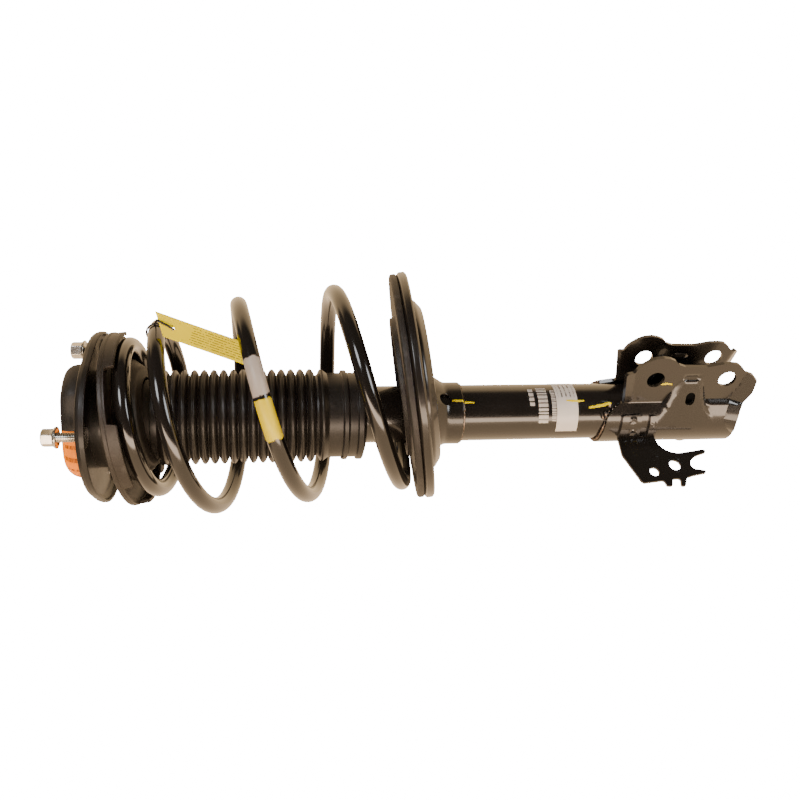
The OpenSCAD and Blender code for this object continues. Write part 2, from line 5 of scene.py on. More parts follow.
import math
import random

import bpy
import numpy as np
from mathutils import Matrix, Vector, geometry


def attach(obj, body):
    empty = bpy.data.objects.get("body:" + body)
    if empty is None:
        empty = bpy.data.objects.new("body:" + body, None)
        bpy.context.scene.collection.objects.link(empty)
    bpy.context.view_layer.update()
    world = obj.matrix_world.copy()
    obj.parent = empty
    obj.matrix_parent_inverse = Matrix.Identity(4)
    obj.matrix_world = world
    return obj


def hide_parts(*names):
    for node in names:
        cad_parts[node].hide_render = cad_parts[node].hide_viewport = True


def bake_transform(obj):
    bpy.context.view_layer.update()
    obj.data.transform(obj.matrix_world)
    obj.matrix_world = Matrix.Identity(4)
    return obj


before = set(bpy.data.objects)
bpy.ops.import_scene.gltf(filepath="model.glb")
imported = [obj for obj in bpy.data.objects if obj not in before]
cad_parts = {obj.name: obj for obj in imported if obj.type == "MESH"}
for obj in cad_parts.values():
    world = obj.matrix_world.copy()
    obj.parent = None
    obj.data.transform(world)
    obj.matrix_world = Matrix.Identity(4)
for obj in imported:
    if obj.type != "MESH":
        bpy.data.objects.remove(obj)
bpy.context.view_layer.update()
MM = 0.001
FULL = 2 * math.pi
rad = math.radians


# ---- camera and stage

VIEW_AZ = rad(39.5)      # the camera stands on this side of the strut
VIEW_TILT = rad(9)       # and this far towards the top mount
ROLL = rad(0.8)
NEAR = Vector((math.sin(VIEW_AZ), -math.cos(VIEW_AZ), 0))
UP = Vector((math.cos(VIEW_AZ), math.sin(VIEW_AZ), 0))
ROD = Vector((0, 0, 1))


def add_object(name, data):
    item = bpy.data.objects.new(name, data)
    bpy.context.scene.collection.objects.link(item)
    return item


def make_camera():
    back = NEAR * math.cos(VIEW_TILT) + ROD * math.sin(VIEW_TILT)
    right = -ROD * math.cos(VIEW_TILT) + NEAR * math.sin(VIEW_TILT)
    x_axis = right * math.cos(ROLL) - UP * math.sin(ROLL)
    y_axis = right * math.sin(ROLL) + UP * math.cos(ROLL)
    place = Vector((0, 0, -0.2645)) + UP * 0.0125 + back * 0.85
    camera = add_object("camera", bpy.data.cameras.new("camera"))
    camera.matrix_world = Matrix((
        (x_axis.x, y_axis.x, back.x, place.x),
        (x_axis.y, y_axis.y, back.y, place.y),
        (x_axis.z, y_axis.z, back.z, place.z),
        (0, 0, 0, 1)))
    camera.data.lens = 42.21
    camera.data.sensor_width = 36
    camera.data.clip_start = 0.01
    bpy.context.scene.camera = camera


class Nodes:
    """Builds a node tree in few words."""

    def __init__(self, tree):
        self.tree = tree
        tree.nodes.clear()

    def add(self, kind, values=None, **props):
        node = self.tree.nodes.new(kind)
        for key, value in props.items():
            setattr(node, key, value)
        self.fill(node, values or {})
        return node

    def fill(self, node, values):
        """Links or sets a node's inputs."""
        for key, value in values.items():
            if isinstance(value, bpy.types.NodeSocket):
                self.tree.links.new(value, node.inputs[key])
            else:
                node.inputs[key].default_value = value

    def math(self, kind, a, b=0.0, clamp=False):
        return self.add("ShaderNodeMath", {0: a, 1: b}, operation=kind, use_clamp=clamp).outputs[0]

    def dot(self, vector, axis):
        node = self.add("ShaderNodeVectorMath", {0: vector, 1: tuple(axis)}, operation="DOT_PRODUCT")
        return node.outputs["Value"]

    def step(self, value, low, high):
        node = self.add("ShaderNodeMapRange", {"Value": value, "From Min": low, "From Max": high},
                        interpolation_type="SMOOTHSTEP", clamp=True)
        return node.outputs["Result"]

    def span(self, value, low, high):
        return self.add("ShaderNodeMapRange", {"Value": value, "To Min": low, "To Max": high}).outputs[0]

    def times(self, first, *others):
        for other in others:
            first = self.math("MULTIPLY", first, other)
        return first

    def mix(self, share, a, b):
        node = self.add("ShaderNodeMix", {0: share, 6: a, 7: b}, data_type="RGBA")
        return node.outputs[2]

    def noise(self, coords, scale, detail=3.0, rough=0.5):
        node = self.add("ShaderNodeTexNoise", {"Vector": coords, "Scale": scale, "Detail": detail,
                                               "Roughness": rough})
        return node.outputs["Fac"]


WHITE_SHOWN = 18.0       # the seamless white behind the object


def make_world():
    """A white studio: warm bright walls and table round the object, a dark room on the camera's side,
    overhead and past the top mount, one long strip light and two small lamps."""
    world = bpy.data.worlds.new("studio")
    world.use_nodes = True
    bpy.context.scene.world = world
    t = Nodes(world.node_tree)
    ray = t.add("ShaderNodeTexCoord").outputs["Generated"]
    n = t.dot(ray, NEAR)
    u = t.dot(ray, UP)
    z = t.dot(ray, ROD)
    angle = t.math("ARCTAN2", u, n)
    warm = t.mix(t.step(angle, -1.6, 1.6), (1.65, 1.17, 0.72, 1), (1.5, 1.06, 0.60, 1))
    level = t.math("ABSOLUTE", z)
    dark = t.times(t.step(angle, -0.46, -0.36), t.step(angle, 1.9, 1.5), t.step(level, 0.93, 0.8))
    dark = t.math("MAXIMUM", dark, t.step(z, 0.66, 0.78))
    base = t.mix(dark, warm, (0.11, 0.090, 0.070, 1))
    strip = t.times(t.step(angle, -0.72, -0.64), t.step(angle, -0.34, -0.44), t.step(level, 0.85, 0.7))
    lit = t.mix(strip, base, (10, 7.6, 5.6, 1))
    for axis, size, power in (((0.72, 0.42, 0.50), 0.985, 9.0), ((0.66, 0.30, -0.68), 0.985, 8.0)):
        aim = (NEAR * axis[0] + UP * axis[1] + ROD * axis[2]).normalized()
        spot = t.step(t.dot(ray, aim), size - 0.012, size)
        lit = t.mix(spot, lit, (power * 0.95, power * 0.97, power, 1))
    shown = t.add("ShaderNodeBackground", {"Color": (1, 1, 1, 1), "Strength": WHITE_SHOWN})
    light = t.add("ShaderNodeBackground", {"Color": lit, "Strength": 1.0})
    pick = t.add("ShaderNodeMixShader", {0: t.add("ShaderNodeLightPath").outputs["Is Camera Ray"],
                                         1: light.outputs[0], 2: shown.outputs[0]})
    t.add("ShaderNodeOutputWorld", {"Surface": pick.outputs[0]})


def new_material(name, kind):
    """A material with one shader: gives it, its nodes and the shader."""
    material = bpy.data.materials.new(name)
    material.use_nodes = True
    t = Nodes(material.node_tree)
    shader = t.add(kind)
    t.add("ShaderNodeOutputMaterial", {"Surface": shader.outputs[0]})
    return material, t, shader


def make_floor():
    """A plain pale floor under the lower end, as bright as the backdrop; the world alone gives the light."""
    material, t, shown = new_material("floor", "ShaderNodeEmission")
    t.fill(shown, {"Color": (1, 1, 1, 1), "Strength": WHITE_SHOWN})
    size, level = 2.2, -0.72
    corners = [(-size, -size, level), (size, -size, level), (size, size, level), (-size, size, level)]
    mesh = bpy.data.meshes.new("floor")
    mesh.from_pydata(corners, [], [(0, 1, 2, 3)])
    mesh.materials.append(material)
    floor = add_object("floor", mesh)
    floor.visible_diffuse = False
    floor.visible_glossy = False


# ---- materials

def surface(name, build):
    material, t, shader = new_material(name, "ShaderNodeBsdfPrincipled")
    build(t, shader, t.add("ShaderNodeTexCoord").outputs["Object"])
    return material


def bump(t, shader, height, strength, distance):
    node = t.add("ShaderNodeBump", {"Strength": strength, "Distance": distance, "Height": height})
    t.fill(shader, {"Normal": node.outputs[0]})


def paint(name, tone, rough, coat, grain=0.35, dust=0.0):
    """Dipped or sprayed paint: slight orange peel, uneven gloss and a breath of dust."""
    def build(t, shader, at):
        patch = t.noise(at, 38, 4)
        fine = t.noise(at, 700, 2)
        deep = tuple(c * 0.75 for c in tone)
        colour = t.mix(patch, (*deep, 1), (*[c * 1.3 for c in tone], 1))
        if dust:
            specks = t.times(t.step(t.noise(at, 900, 2), 0.62, 0.72), dust)
            colour = t.mix(specks, colour, (0.30, 0.27, 0.24, 1))
        t.fill(shader, {"Base Color": colour, "Roughness": t.span(patch, rough * 0.8, rough * 1.25),
                        "Coat Weight": coat, "Coat Roughness": 0.05})
        peel = t.math("ADD", t.times(fine, 0.3), t.noise(at, 160, 2))
        bump(t, shader, peel, grain, 0.00006)
    return surface(name, build)


def painted_glow(t, shader, tone, glow):
    """Bright colour with painted glow: emission of its own on top of the lamps' light, and little surface
    reflection.
    """
    t.fill(shader, {"Specular IOR Level": 0.15, "Emission Color": (*tone, 1), "Emission Strength": glow})


def soft(name, tone, rough, scale=260, strength=0.5, haze=0.0, glow=0.0):
    """Rubber or foam: fine grain, uneven sheen and pale bloom in places."""
    def build(t, shader, at):
        # painted glow: emission brightens the colour beyond what the lamps give
        if glow:
            painted_glow(t, shader, tone, glow)
        patch = t.noise(at, 45, 5)
        colour = t.mix(patch, (*[c * 0.7 for c in tone], 1), (*[c * 1.35 for c in tone], 1))
        if haze:
            bloom = t.times(t.step(t.noise(at, 110, 5), 0.5, 0.8), haze)
            colour = t.mix(bloom, colour, (0.16, 0.145, 0.13, 1))
        t.fill(shader, {"Base Color": colour,
                        "Roughness": t.span(patch, rough * 0.85, min(1, rough * 1.2))})
        bump(t, shader, t.noise(at, scale, 6, 0.6), strength, 0.00015)
    return surface(name, build)


def metal(name, tone, rough, tint=None, stretch=(1, 1, 1)):
    """Plated or machined metal: faint streaks, stains and a slightly uneven plating colour."""
    def build(t, shader, at):
        flow = t.add("ShaderNodeMapping", {"Vector": at, "Scale": stretch}).outputs[0]
        patch = t.noise(at, 140, 4)
        streak = t.noise(flow, 900, 3)
        other = tint or tuple(c * 0.8 for c in tone)
        t.fill(shader, {"Base Color": t.mix(t.step(patch, 0.4, 0.65), (*tone, 1), (*other, 1)),
                        "Metallic": 1.0, "Roughness": t.span(streak, rough * 0.75, rough * 1.4)})
        bump(t, shader, streak, 0.25, 0.00004)
    return surface(name, build)


def printed(name, ground, ink, rows, share, gloss, glow=0.0):
    """Film or card with plain generic bars in place of print: UV runs along and across it, 0 to 1."""
    def build(t, shader, at):
        uv = t.add("ShaderNodeUVMap").outputs[0]
        parts = t.add("ShaderNodeSeparateXYZ", {0: uv})
        along, across = parts.outputs[0], parts.outputs[1]
        count = t.times(across, rows)
        row = t.math("FRACT", count)
        number = t.math("FLOOR", count)
        line = t.times(t.step(row, 0.32, 0.38), t.step(row, 0.72, 0.66))
        cell = t.add("ShaderNodeCombineXYZ", {0: t.times(along, 60), 1: t.times(number, 7.3)}).outputs[0]
        words = t.add("ShaderNodeTexNoise", {"Vector": cell, "Scale": 1.0, "Detail": 1.0}).outputs["Fac"]
        first, last = share
        bars = t.times(line, t.step(words, 0.42, 0.47))
        inside = t.times(t.step(along, first, first + 0.01), t.step(along, last, last - 0.01))
        edge = t.times(t.step(across, 0.1, 0.13), t.step(across, 0.9, 0.87))
        mask = t.times(bars, inside, edge)
        paper = t.mix(t.noise(at, 120, 4), (*[c * 0.93 for c in ground], 1), (*ground, 1))
        t.fill(shader, {"Base Color": t.mix(t.times(mask, 0.85), paper, (*ink, 1)), "Roughness": gloss})
        # painted glow: the ground and the bars shine by emission of their own
        if glow:
            painted_glow(t, shader, ground, glow)
            t.fill(shader, {"Emission Color": t.mix(mask, (*ground, 1), (*ink, 1))})
        bump(t, shader, t.noise(at, 300, 3), 0.15, 0.00005)
    return surface(name, build)


def spring_paint():
    """Powder coat of the coil, with the two brushed colour marks round one strand."""
    def build(t, shader, at):
        turn = t.add("ShaderNodeAttribute", attribute_name="turn").outputs["Fac"]
        ragged = t.times(t.math("SUBTRACT", t.noise(at, 160, 4), 0.5), 0.012)
        turn = t.math("ADD", turn, ragged)
        patch = t.noise(at, 30, 4)
        colour = t.mix(patch, (0.0070, 0.0058, 0.0052, 1), (0.013, 0.0105, 0.009, 1))
        white = t.times(t.step(turn, 2.577, 2.580), t.step(turn, 2.634, 2.631))
        yellow = t.times(t.step(turn, 2.638, 2.641), t.step(turn, 2.700, 2.697))
        streaks = t.math("ADD", 0.9, t.times(t.noise(at, 500, 3), 0.1), clamp=True)
        colour = t.mix(t.times(white, streaks), colour, (0.52, 0.47, 0.43, 1))
        colour = t.mix(t.times(yellow, streaks), colour, (0.9, 0.72, 0.0, 1))
        marks = t.math("MAXIMUM", white, yellow)
        t.fill(shader, {"Base Color": colour, "Roughness": t.span(marks, 0.16, 0.42),
                        "Coat Weight": t.span(marks, 0.8, 0.15), "Coat Roughness": 0.04})
        bump(t, shader, t.noise(at, 220, 2), 0.3, 0.00006)
    return surface("spring_paint", build)


# ---- mesh helpers

def turn_z(degrees):
    c, s = math.cos(rad(degrees)), math.sin(rad(degrees))
    return np.array([[c, -s, 0], [s, c, 0], [0, 0, 1]])


def turn_y(degrees):
    c, s = math.cos(rad(degrees)), math.sin(rad(degrees))
    return np.array([[c, 0, s], [0, 1, 0], [-s, 0, c]])


LEVEL = (np.eye(3), np.zeros(3))
PLATE = (turn_z(129.5) @ turn_y(5) @ turn_z(-129.5), np.zeros(3))
SPRING = (turn_z(-9) @ turn_y(-10) @ turn_z(9), np.array([0, 0, -27.5]))


def moved(points, place):
    return np.asarray(points, float) @ place[0].T + place[1]


def laid(form, place, shift=(0, 0, 0)):
    """A form, which is its points and its faces, shifted and then moved to its place."""
    return moved(np.array(form[0]) + shift, place), form[1]


def piece(name, form, material, body, replaces=(), bevel=0.0, uv=None, place=LEVEL):
    """Makes one object from a form in millimetres, in its material, and lets it ride on a body."""
    mesh = bpy.data.meshes.new(name)
    mesh.from_pydata((moved(form[0], place) * MM).tolist(), [], form[1])
    mesh.validate()
    mesh.shade_smooth()
    if uv is not None:
        layer = mesh.uv_layers.new(name="uv")
        index = np.zeros(len(mesh.loops), int)
        mesh.loops.foreach_get("vertex_index", index)
        layer.data.foreach_set("uv", np.asarray(uv, np.float32)[index].ravel())
    mesh.materials.append(material)
    item = add_object(name, mesh)
    if bevel:
        rounding = item.modifiers.new("rounding", "BEVEL")
        rounding.width = bevel * MM
        rounding.segments = 2
        rounding.limit_method = "ANGLE"
        rounding.angle_limit = rad(40)
    item.modifiers.new("normals", "WEIGHTED_NORMAL").weight = 60
    if body:
        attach(item, body)
    if replaces:
        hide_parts(*replaces)
    return item


def fillet(points, segs=5):
    """Rounds the corners of a closed outline given as (x, y) or (x, y, radius)."""
    out = []
    count = len(points)
    for i, p in enumerate(points):
        here = np.array(p[:2], float)
        radius = p[2] if len(p) > 2 else 0
        if radius <= 0:
            out.append(here)
            continue
        a = np.array(points[i - 1][:2], float) - here
        b = np.array(points[(i + 1) % count][:2], float) - here
        la, lb = np.linalg.norm(a), np.linalg.norm(b)
        a, b = a / la, b / lb
        half = math.acos(max(-1, min(1, a @ b))) / 2
        reach = min(radius / math.tan(half), la * 0.49, lb * 0.49)
        r = reach * math.tan(half)
        middle = here + (a + b) / np.linalg.norm(a + b) * (r / math.sin(half))
        start, end = here + a * reach - middle, here + b * reach - middle
        for k in range(segs + 1):
            w = k / segs
            sweep = math.pi - 2 * half
            s = (math.sin((1 - w) * sweep) * start + math.sin(w * sweep) * end) / max(math.sin(sweep), 1e-9)
            out.append(middle + s)
    return [tuple(p) for p in out]


def revolve(profile, steps=160, warp=None):
    """Turns a closed outline of (radius, height) round Z; warp(r, z, angle) may move its points."""
    angles = np.arange(steps) * FULL / steps
    verts = []
    for a in angles:
        for r, z in profile:
            rr, zz = warp(r, z, a) if warp else (r, z)
            verts.append((rr * math.cos(a), rr * math.sin(a), zz))
    count = len(profile)
    faces = []
    for i in range(steps):
        j = (i + 1) % steps
        for k in range(count):
            m = (k + 1) % count
            faces.append((i * count + k, j * count + k, j * count + m, i * count + m))
    area = sum(profile[k][0] * profile[(k + 1) % count][1] - profile[(k + 1) % count][0] * profile[k][1]
               for k in range(count))
    if area < 0:
        faces = [f[::-1] for f in faces]
    return verts, faces


def inside(points, loop):
    """Which of the points lie inside a closed outline."""
    points = np.asarray(points, float)
    loop = np.asarray(loop, float)
    x, y = points[:, 0], points[:, 1]
    hit = np.zeros(len(points), bool)
    x1, y1 = loop[-1]
    for x2, y2 in loop:
        crosses = (y1 > y) != (y2 > y)
        with np.errstate(divide="ignore", invalid="ignore"):
            at = (x2 - x1) * (y - y1) / (y2 - y1) + x1
        hit ^= crosses & (x < at)
        x1, y1 = x2, y2
    return hit


def resample(loop, step):
    out = []
    for i, p in enumerate(loop):
        q = loop[(i + 1) % len(loop)]
        length = math.dist(p, q)
        parts = max(1, round(length / step))
        out += [(p[0] + (q[0] - p[0]) * k / parts, p[1] + (q[1] - p[1]) * k / parts) for k in range(parts)]
    return out


def sheet(outline, holes, step, place_at, thickness):
    """A pressed sheet: a flat blank with holes, laid on the surface that place_at(s, t) describes.
    Returns points, faces and each point's place on the blank."""
    loops = [resample(outline, step)] + [resample(h, step * 0.8) for h in holes]
    points, edges = [], []
    for loop in loops:
        first = len(points)
        points += loop
        edges += [(first + k, first + (k + 1) % len(loop)) for k in range(len(loop))]
    low, high = np.min(loops[0], 0), np.max(loops[0], 0)
    columns = np.arange(low[0], high[0], step * 0.87)
    rows = np.arange(low[1], high[1], step)
    grid = np.array([(x, y + (i % 2) * step * 0.5) for i, x in enumerate(columns) for y in rows])
    keep = inside(grid, loops[0])
    for hole in loops[1:]:
        keep &= ~inside(grid, hole)
    grid = grid[keep]
    border = np.array(points)
    near = np.array([np.min(((border - g) ** 2).sum(1)) for g in grid]) if len(grid) else np.array([])
    grid = grid[near > (step * 0.55) ** 2] if len(grid) else grid
    points += [tuple(g) for g in grid]
    made = geometry.delaunay_2d_cdt([Vector(p) for p in points], edges, [], 1, 1e-5)
    flat = np.array([tuple(v) for v in made[0]])
    faces = [tuple(f) for f in made[2]]
    middle = np.array([flat[list(f)].mean(0) for f in faces])
    keep = inside(middle, loops[0])
    for hole in loops[1:]:
        keep &= ~inside(middle, hole)
    faces = [f for f, k in zip(faces, keep) if k]
    e = 0.05
    base = place_at(flat[:, 0], flat[:, 1])
    ds = place_at(flat[:, 0] + e, flat[:, 1]) - place_at(flat[:, 0] - e, flat[:, 1])
    dt = place_at(flat[:, 0], flat[:, 1] + e) - place_at(flat[:, 0], flat[:, 1] - e)
    normal = np.cross(ds, dt)
    normal /= np.linalg.norm(normal, axis=1)[:, None]
    count = len(flat)
    front = base + normal * thickness / 2
    rear = base - normal * thickness / 2
    sides = {}
    for f in faces:
        for k in range(3):
            a, b = f[k], f[(k + 1) % 3]
            if (b, a) in sides:
                del sides[(b, a)]
            else:
                sides[(a, b)] = True
    area = sum(np.cross(flat[f[1]] - flat[f[0]], flat[f[2]] - flat[f[0]]) for f in faces[:50])
    solid = list(faces) + [tuple(count + v for v in f[::-1]) for f in faces]
    solid += [(b, a, count + a, count + b) for a, b in sides]
    if area < 0:
        solid = [f[::-1] for f in solid]
    return np.vstack([front, rear]), solid, np.vstack([flat, flat])


def circle(x, y, r, count=40):
    return [(x + r * math.cos(FULL * k / count), y + r * math.sin(FULL * k / count)) for k in range(count)]


def tube(points, radius, sides=12):
    """A round bar along open points, closed at both ends; radius may be a list."""
    points = np.asarray(points, float)
    radii = np.broadcast_to(radius, len(points))
    along = np.gradient(points, axis=0)
    along /= np.linalg.norm(along, axis=1)[:, None]
    side = np.cross(along[0], (0.31, 0.52, 0.79))
    verts = []
    for p, d, r in zip(points, along, radii):
        side = side - d * (side @ d)
        side /= np.linalg.norm(side)
        other = np.cross(d, side)
        verts += [p + r * (math.cos(FULL * k / sides) * side + math.sin(FULL * k / sides) * other)
                  for k in range(sides)]
    faces = []
    for i in range(len(points) - 1):
        for k in range(sides):
            m = (k + 1) % sides
            faces.append((i * sides + k, i * sides + m, (i + 1) * sides + m, (i + 1) * sides + k))
    faces.append(tuple(range(sides))[::-1])
    faces.append(tuple((len(points) - 1) * sides + k for k in range(sides)))
    return verts, faces


def joined(parts):
    """Several point-and-face sets as one."""
    verts, faces = [], []
    for v, f in parts:
        first = len(verts)
        verts += [tuple(p) for p in v]
        faces += [tuple(first + i for i in face) for face in f]
    return verts, faces


def smooth_step(x):
    x = np.clip(x, 0, 1)
    return x * x * (3 - 2 * x)


# ---- top mount

STUDS = (-63, 57, 177)   # directions of the studs
STUD_R = 63              # and their distance from the rod
NUT_HEIGHTS = (16, 13.5, 13.5)
DOME_R, DOME_FLAT = 50, 40
DOME_ROUND = 13          # radius of the dome's rounding
DOME_START = 11          # height at which the rounding starts
CROWN_R = 22             # inside this the dome is round in plan
TUBE_R = 25.5


def lobe_angle(a):
    """Angle from the nearest stud's direction."""
    return rad(abs((math.degrees(a) + 63 + 60) % 120 - 60))


def plate_radius(a):
    shift, core = 12, 64
    d = lobe_angle(a)
    straight = (shift / 2 + core) / math.cos(rad(60) - d)
    if straight * math.sin(rad(60) - d) <= shift * math.sqrt(3) / 2:
        return straight
    return shift * math.cos(d) + math.sqrt(core ** 2 - (shift * math.sin(d)) ** 2)


def dome_radius(a):
    flat = DOME_FLAT / math.cos(lobe_angle(a))
    blend = 1.2
    return -math.log(math.exp(-flat / blend) + math.exp(-DOME_R / blend)) * blend


def plate_height(x, y):
    """Height of the leaning plate's top face over a point."""
    normal = PLATE[0] @ np.array([0, 0, 1])
    return -(normal[0] * x + normal[1] * y) / normal[2]


def at_stud(form, direction, height=0.0):
    """Moves a form from the rod's line to a stud's place on the leaning plate."""
    a = rad(direction)
    return laid(form, PLATE, (STUD_R * math.cos(a), STUD_R * math.sin(a), height))


def make_plate(material):
    def warp(r, z, a):
        return (45 + (r - 45) * (plate_radius(a) - 45) / 31, z) if r > 45 else (r, z)
    face = fillet([(37.4, 0), (74.4, 0, 3.2), (76, -4, 1), (76, -8, 1.2), (73.4, -8, 1.0), (72.6, -4.6, 2.2),
                   (68, -3, 4), (37.4, -3)])
    rim = revolve(face, 240, warp)
    collar = revolve(fillet([(37.05, -10, 0.5), (40, -10, 1), (40, -0.6, 0.3), (37.05, -0.6)]), 120)
    ring = revolve(fillet([(4.6, 0.5, 0.3), (4.6, -3.4, 0.3), (6.6, -3.4, 0.6), (7.2, -1, 0.3),
                           (6.2, 0.5, 0.3)]), 40)
    form = joined([laid(rim, PLATE), collar] + [at_stud(ring, a) for a in STUDS])
    piece("top_plate", form, material, "top_mount", ["top_mount_plate"])


def make_dome(material):
    def warp(r, z, a):
        out = r
        if r > CROWN_R:
            out = CROWN_R + (r - CROWN_R) * (dome_radius(a) - CROWN_R) / (DOME_R - CROWN_R)
        if z >= 8:
            return out, z
        ground = plate_height(out * math.cos(a), out * math.sin(a))
        if z < 0.6:
            return out, ground + max(z, 0)
        return out, z + ground * (1 - z / 8)
    middle = DOME_R - DOME_ROUND
    arch = [(middle + DOME_ROUND * math.cos(rad(k)), DOME_START + DOME_ROUND * math.sin(rad(k)))
            for k in range(0, 91, 9)]
    face = fillet([(50, 0), (50, 0.6), (50, 6)] + arch + [
        (17.5, 24, 1.2), (16.2, 21.8, 0.8), (47.5, 21.5, 10.5), (47.5, 6), (47.5, 0.6), (47.5, 0)], 9)
    piece("dome", revolve(face, 240, warp), material, "top_mount", ["mount_dome"])


def make_studs(zinc):
    """Studs with a ringed thread and a pressed head under the plate."""
    root, crest, pitch = 3.45, 3.98, 1.25
    profile = [(0.2, -6), (8.9, -6), (9.5, -5.4), (9.5, -3.4), (9.0, -3.0), (4.8, -3.0), (4.8, 0.2),
               (3.9, 0.6)]
    for k in range(15):
        z = 1.0 + k * pitch
        profile += [(crest, z), (crest, z + 0.25), (root, z + 0.6), (root, z + 0.75)]
    profile += [(3.3, 20), (0.2, 20)]
    stud = revolve(profile, 40)
    form = joined([at_stud(stud, a) for a in STUDS])
    piece("studs", form, zinc, "top_mount", ["mount_studs"])


def make_nuts(zinc):
    """Hexagon flange nuts, 13 mm across the flats."""
    def warp(r, z, a):
        if 7.3 < r < 7.52:
            return 6.5 / math.cos((a + rad(30)) % rad(60) - rad(30)), z
        return r, z
    profile = fillet([(4.15, 0), (8.8, 0, 0.3), (9, 0.9, 0.5), (8.5, 1.8, 0.5), (7.6, 2.6, 0.5)], 3)
    profile += [(7.5, 3.0), (7.5, 6), (7.5, 10.9), (6.9, 11.55), (6.3, 11.95), (6.0, 12), (4.9, 12),
                (4.5, 11.6), (4.15, 11.2)]
    nut = revolve(profile, 120, warp)
    parts = []
    for k, (a, height) in enumerate(zip(STUDS, NUT_HEIGHTS)):
        turned = np.array(nut[0]) @ turn_z(a + 11 * k).T, nut[1]
        parts.append(at_stud(turned, a, height))
    piece("nuts", joined(parts), zinc, "top_mount", ["mount_nuts"])


def make_dome_label(material):
    """Film round the dome's side and up its rounding: s is the girth and t the way up."""
    def place(s, t):
        a = s / DOME_R
        side = np.array([dome_radius(x) for x in a])
        turn = np.clip(t - DOME_START, 0, 20) / DOME_ROUND
        out = DOME_R - DOME_ROUND - CROWN_R + (DOME_ROUND + stand_off) * np.cos(turn)
        r = CROWN_R + out * (side - CROWN_R) / (DOME_R - CROWN_R)
        x, y = r * np.cos(a), r * np.sin(a)
        z = np.minimum(t, DOME_START) + (DOME_ROUND + stand_off) * np.sin(turn)
        return np.stack([x, y, z + plate_height(x, y) * np.clip(1 - t / 9, 0, 1)], 1)
    stand_off = 0.35
    middle, half, low, high = rad(-102.5) * DOME_R, 33, 0.5, 24.5
    blank = fillet([(middle - half, low, 1), (middle + half, low, 1), (middle + half, high, 1),
                    (middle - half, high, 1)])
    verts, faces, flat = sheet(blank, [], 1.5, place, 0.2)
    uv = np.stack([(flat[:, 1] - low) / (high - low), (flat[:, 0] - middle + half) / (2 * half)], 1)
    piece("dome_label", (verts, faces), material, "top_mount", ["mount_label"], uv=uv)


def make_insulator(material):
    """Rubber ring with a hanging skirt, which has four wide gaps."""
    def warp(r, z, a):
        if z < -0.2 and r > 70:
            share = 0.0
            for middle in (-119, -34.5, 55.5, 145.5):
                off = abs((math.degrees(a) - middle + 180) % 360 - 180)
                share = max(share, float(smooth_step((19.6 - off) / 1.2)))
            return r, z * (1 - share) - 0.2 * share
        return r, z
    face = fillet([(53.6, 0.2, 0.6), (71.3, 0.2, 0.8), (71.3, -8, 0.9), (74.6, -8, 1.0), (74.6, 1.2, 0.6),
                   (75.4, 1.8, 0.6), (75.4, 5.2, 1.2), (72.2, 5.5, 0.8), (71.3, 2.7, 0.8), (53.6, 2.7, 0.6)])
    form = revolve(face, 360, warp)
    piece("insulator", form, material, "spring_top", ["upper_insulator"],
          place=SPRING)


def make_upper_seat(material):
    bowl = revolve(fillet([
        (41, 5.7), (71.0, 5.6, 1.0), (70.6, 2.75, 0.8), (54.2, 2.75, 2), (53.2, -4, 4), (50, -10, 6),
        (43.2, -17.2, 4), (33, -19.4, 1), (33, -17.6), (42, -15.2, 4), (47.8, -9.2, 5), (50.6, -3, 3),
        (51.4, 3.4, 1), (41, 3.4)], 6), 160)
    neck = revolve(fillet([(31.1, -38), (31.1, -56.4, 0.6), (33.4, -56.4, 0.8), (33.5, -38)]), 120)
    form = joined([laid(bowl, SPRING), neck])
    piece("upper_seat", form, material, "spring_top", ["upper_spring_seat"])


# ---- coil spring

WIRE_R = 7.1
TURNS = 4.05
UPPER_FACE, LOWER_FACE = 0.2, 0.2 - 238      # faces of the two rubbers that hold the coil
COIL_GAP = 0.3
COIL_TOP, COIL_BOTTOM = UPPER_FACE - COIL_GAP - WIRE_R, LOWER_FACE + COIL_GAP + WIRE_R


def ramp(t, low, high):
    x = (t - low) / (high - low)
    c = np.clip(x, 0, 1)
    return (high - low) * (c ** 3 - c ** 4 / 2 + np.maximum(x - 1, 0))


def coil_fall(t):
    return ramp(t, -0.2, 2.6) - ramp(t, 3.75, 4.07) - ramp(0.0, -0.2, 2.6)


def coil_line(t):
    """Centre line of the wire in the spring's own frame, by turns from its upper end."""
    radius = 62.5 + (85.2 - 62.5) * smooth_step((t - 0.73) / (2.02 - 0.73))
    a = rad(180) - FULL * t
    sway = 4 * np.exp(-((t - 1.68) / 0.18) ** 2) - 7 * np.exp(-((t - 1.17) / 0.14) ** 2)
    z = COIL_TOP + (COIL_BOTTOM - COIL_TOP) * coil_fall(t) / coil_fall(TURNS) + sway
    return np.stack([radius * np.cos(a), radius * np.sin(a), z], -1)


def even_blend(item):
    """Bakes the piece's placement into its points."""
    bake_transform(item)


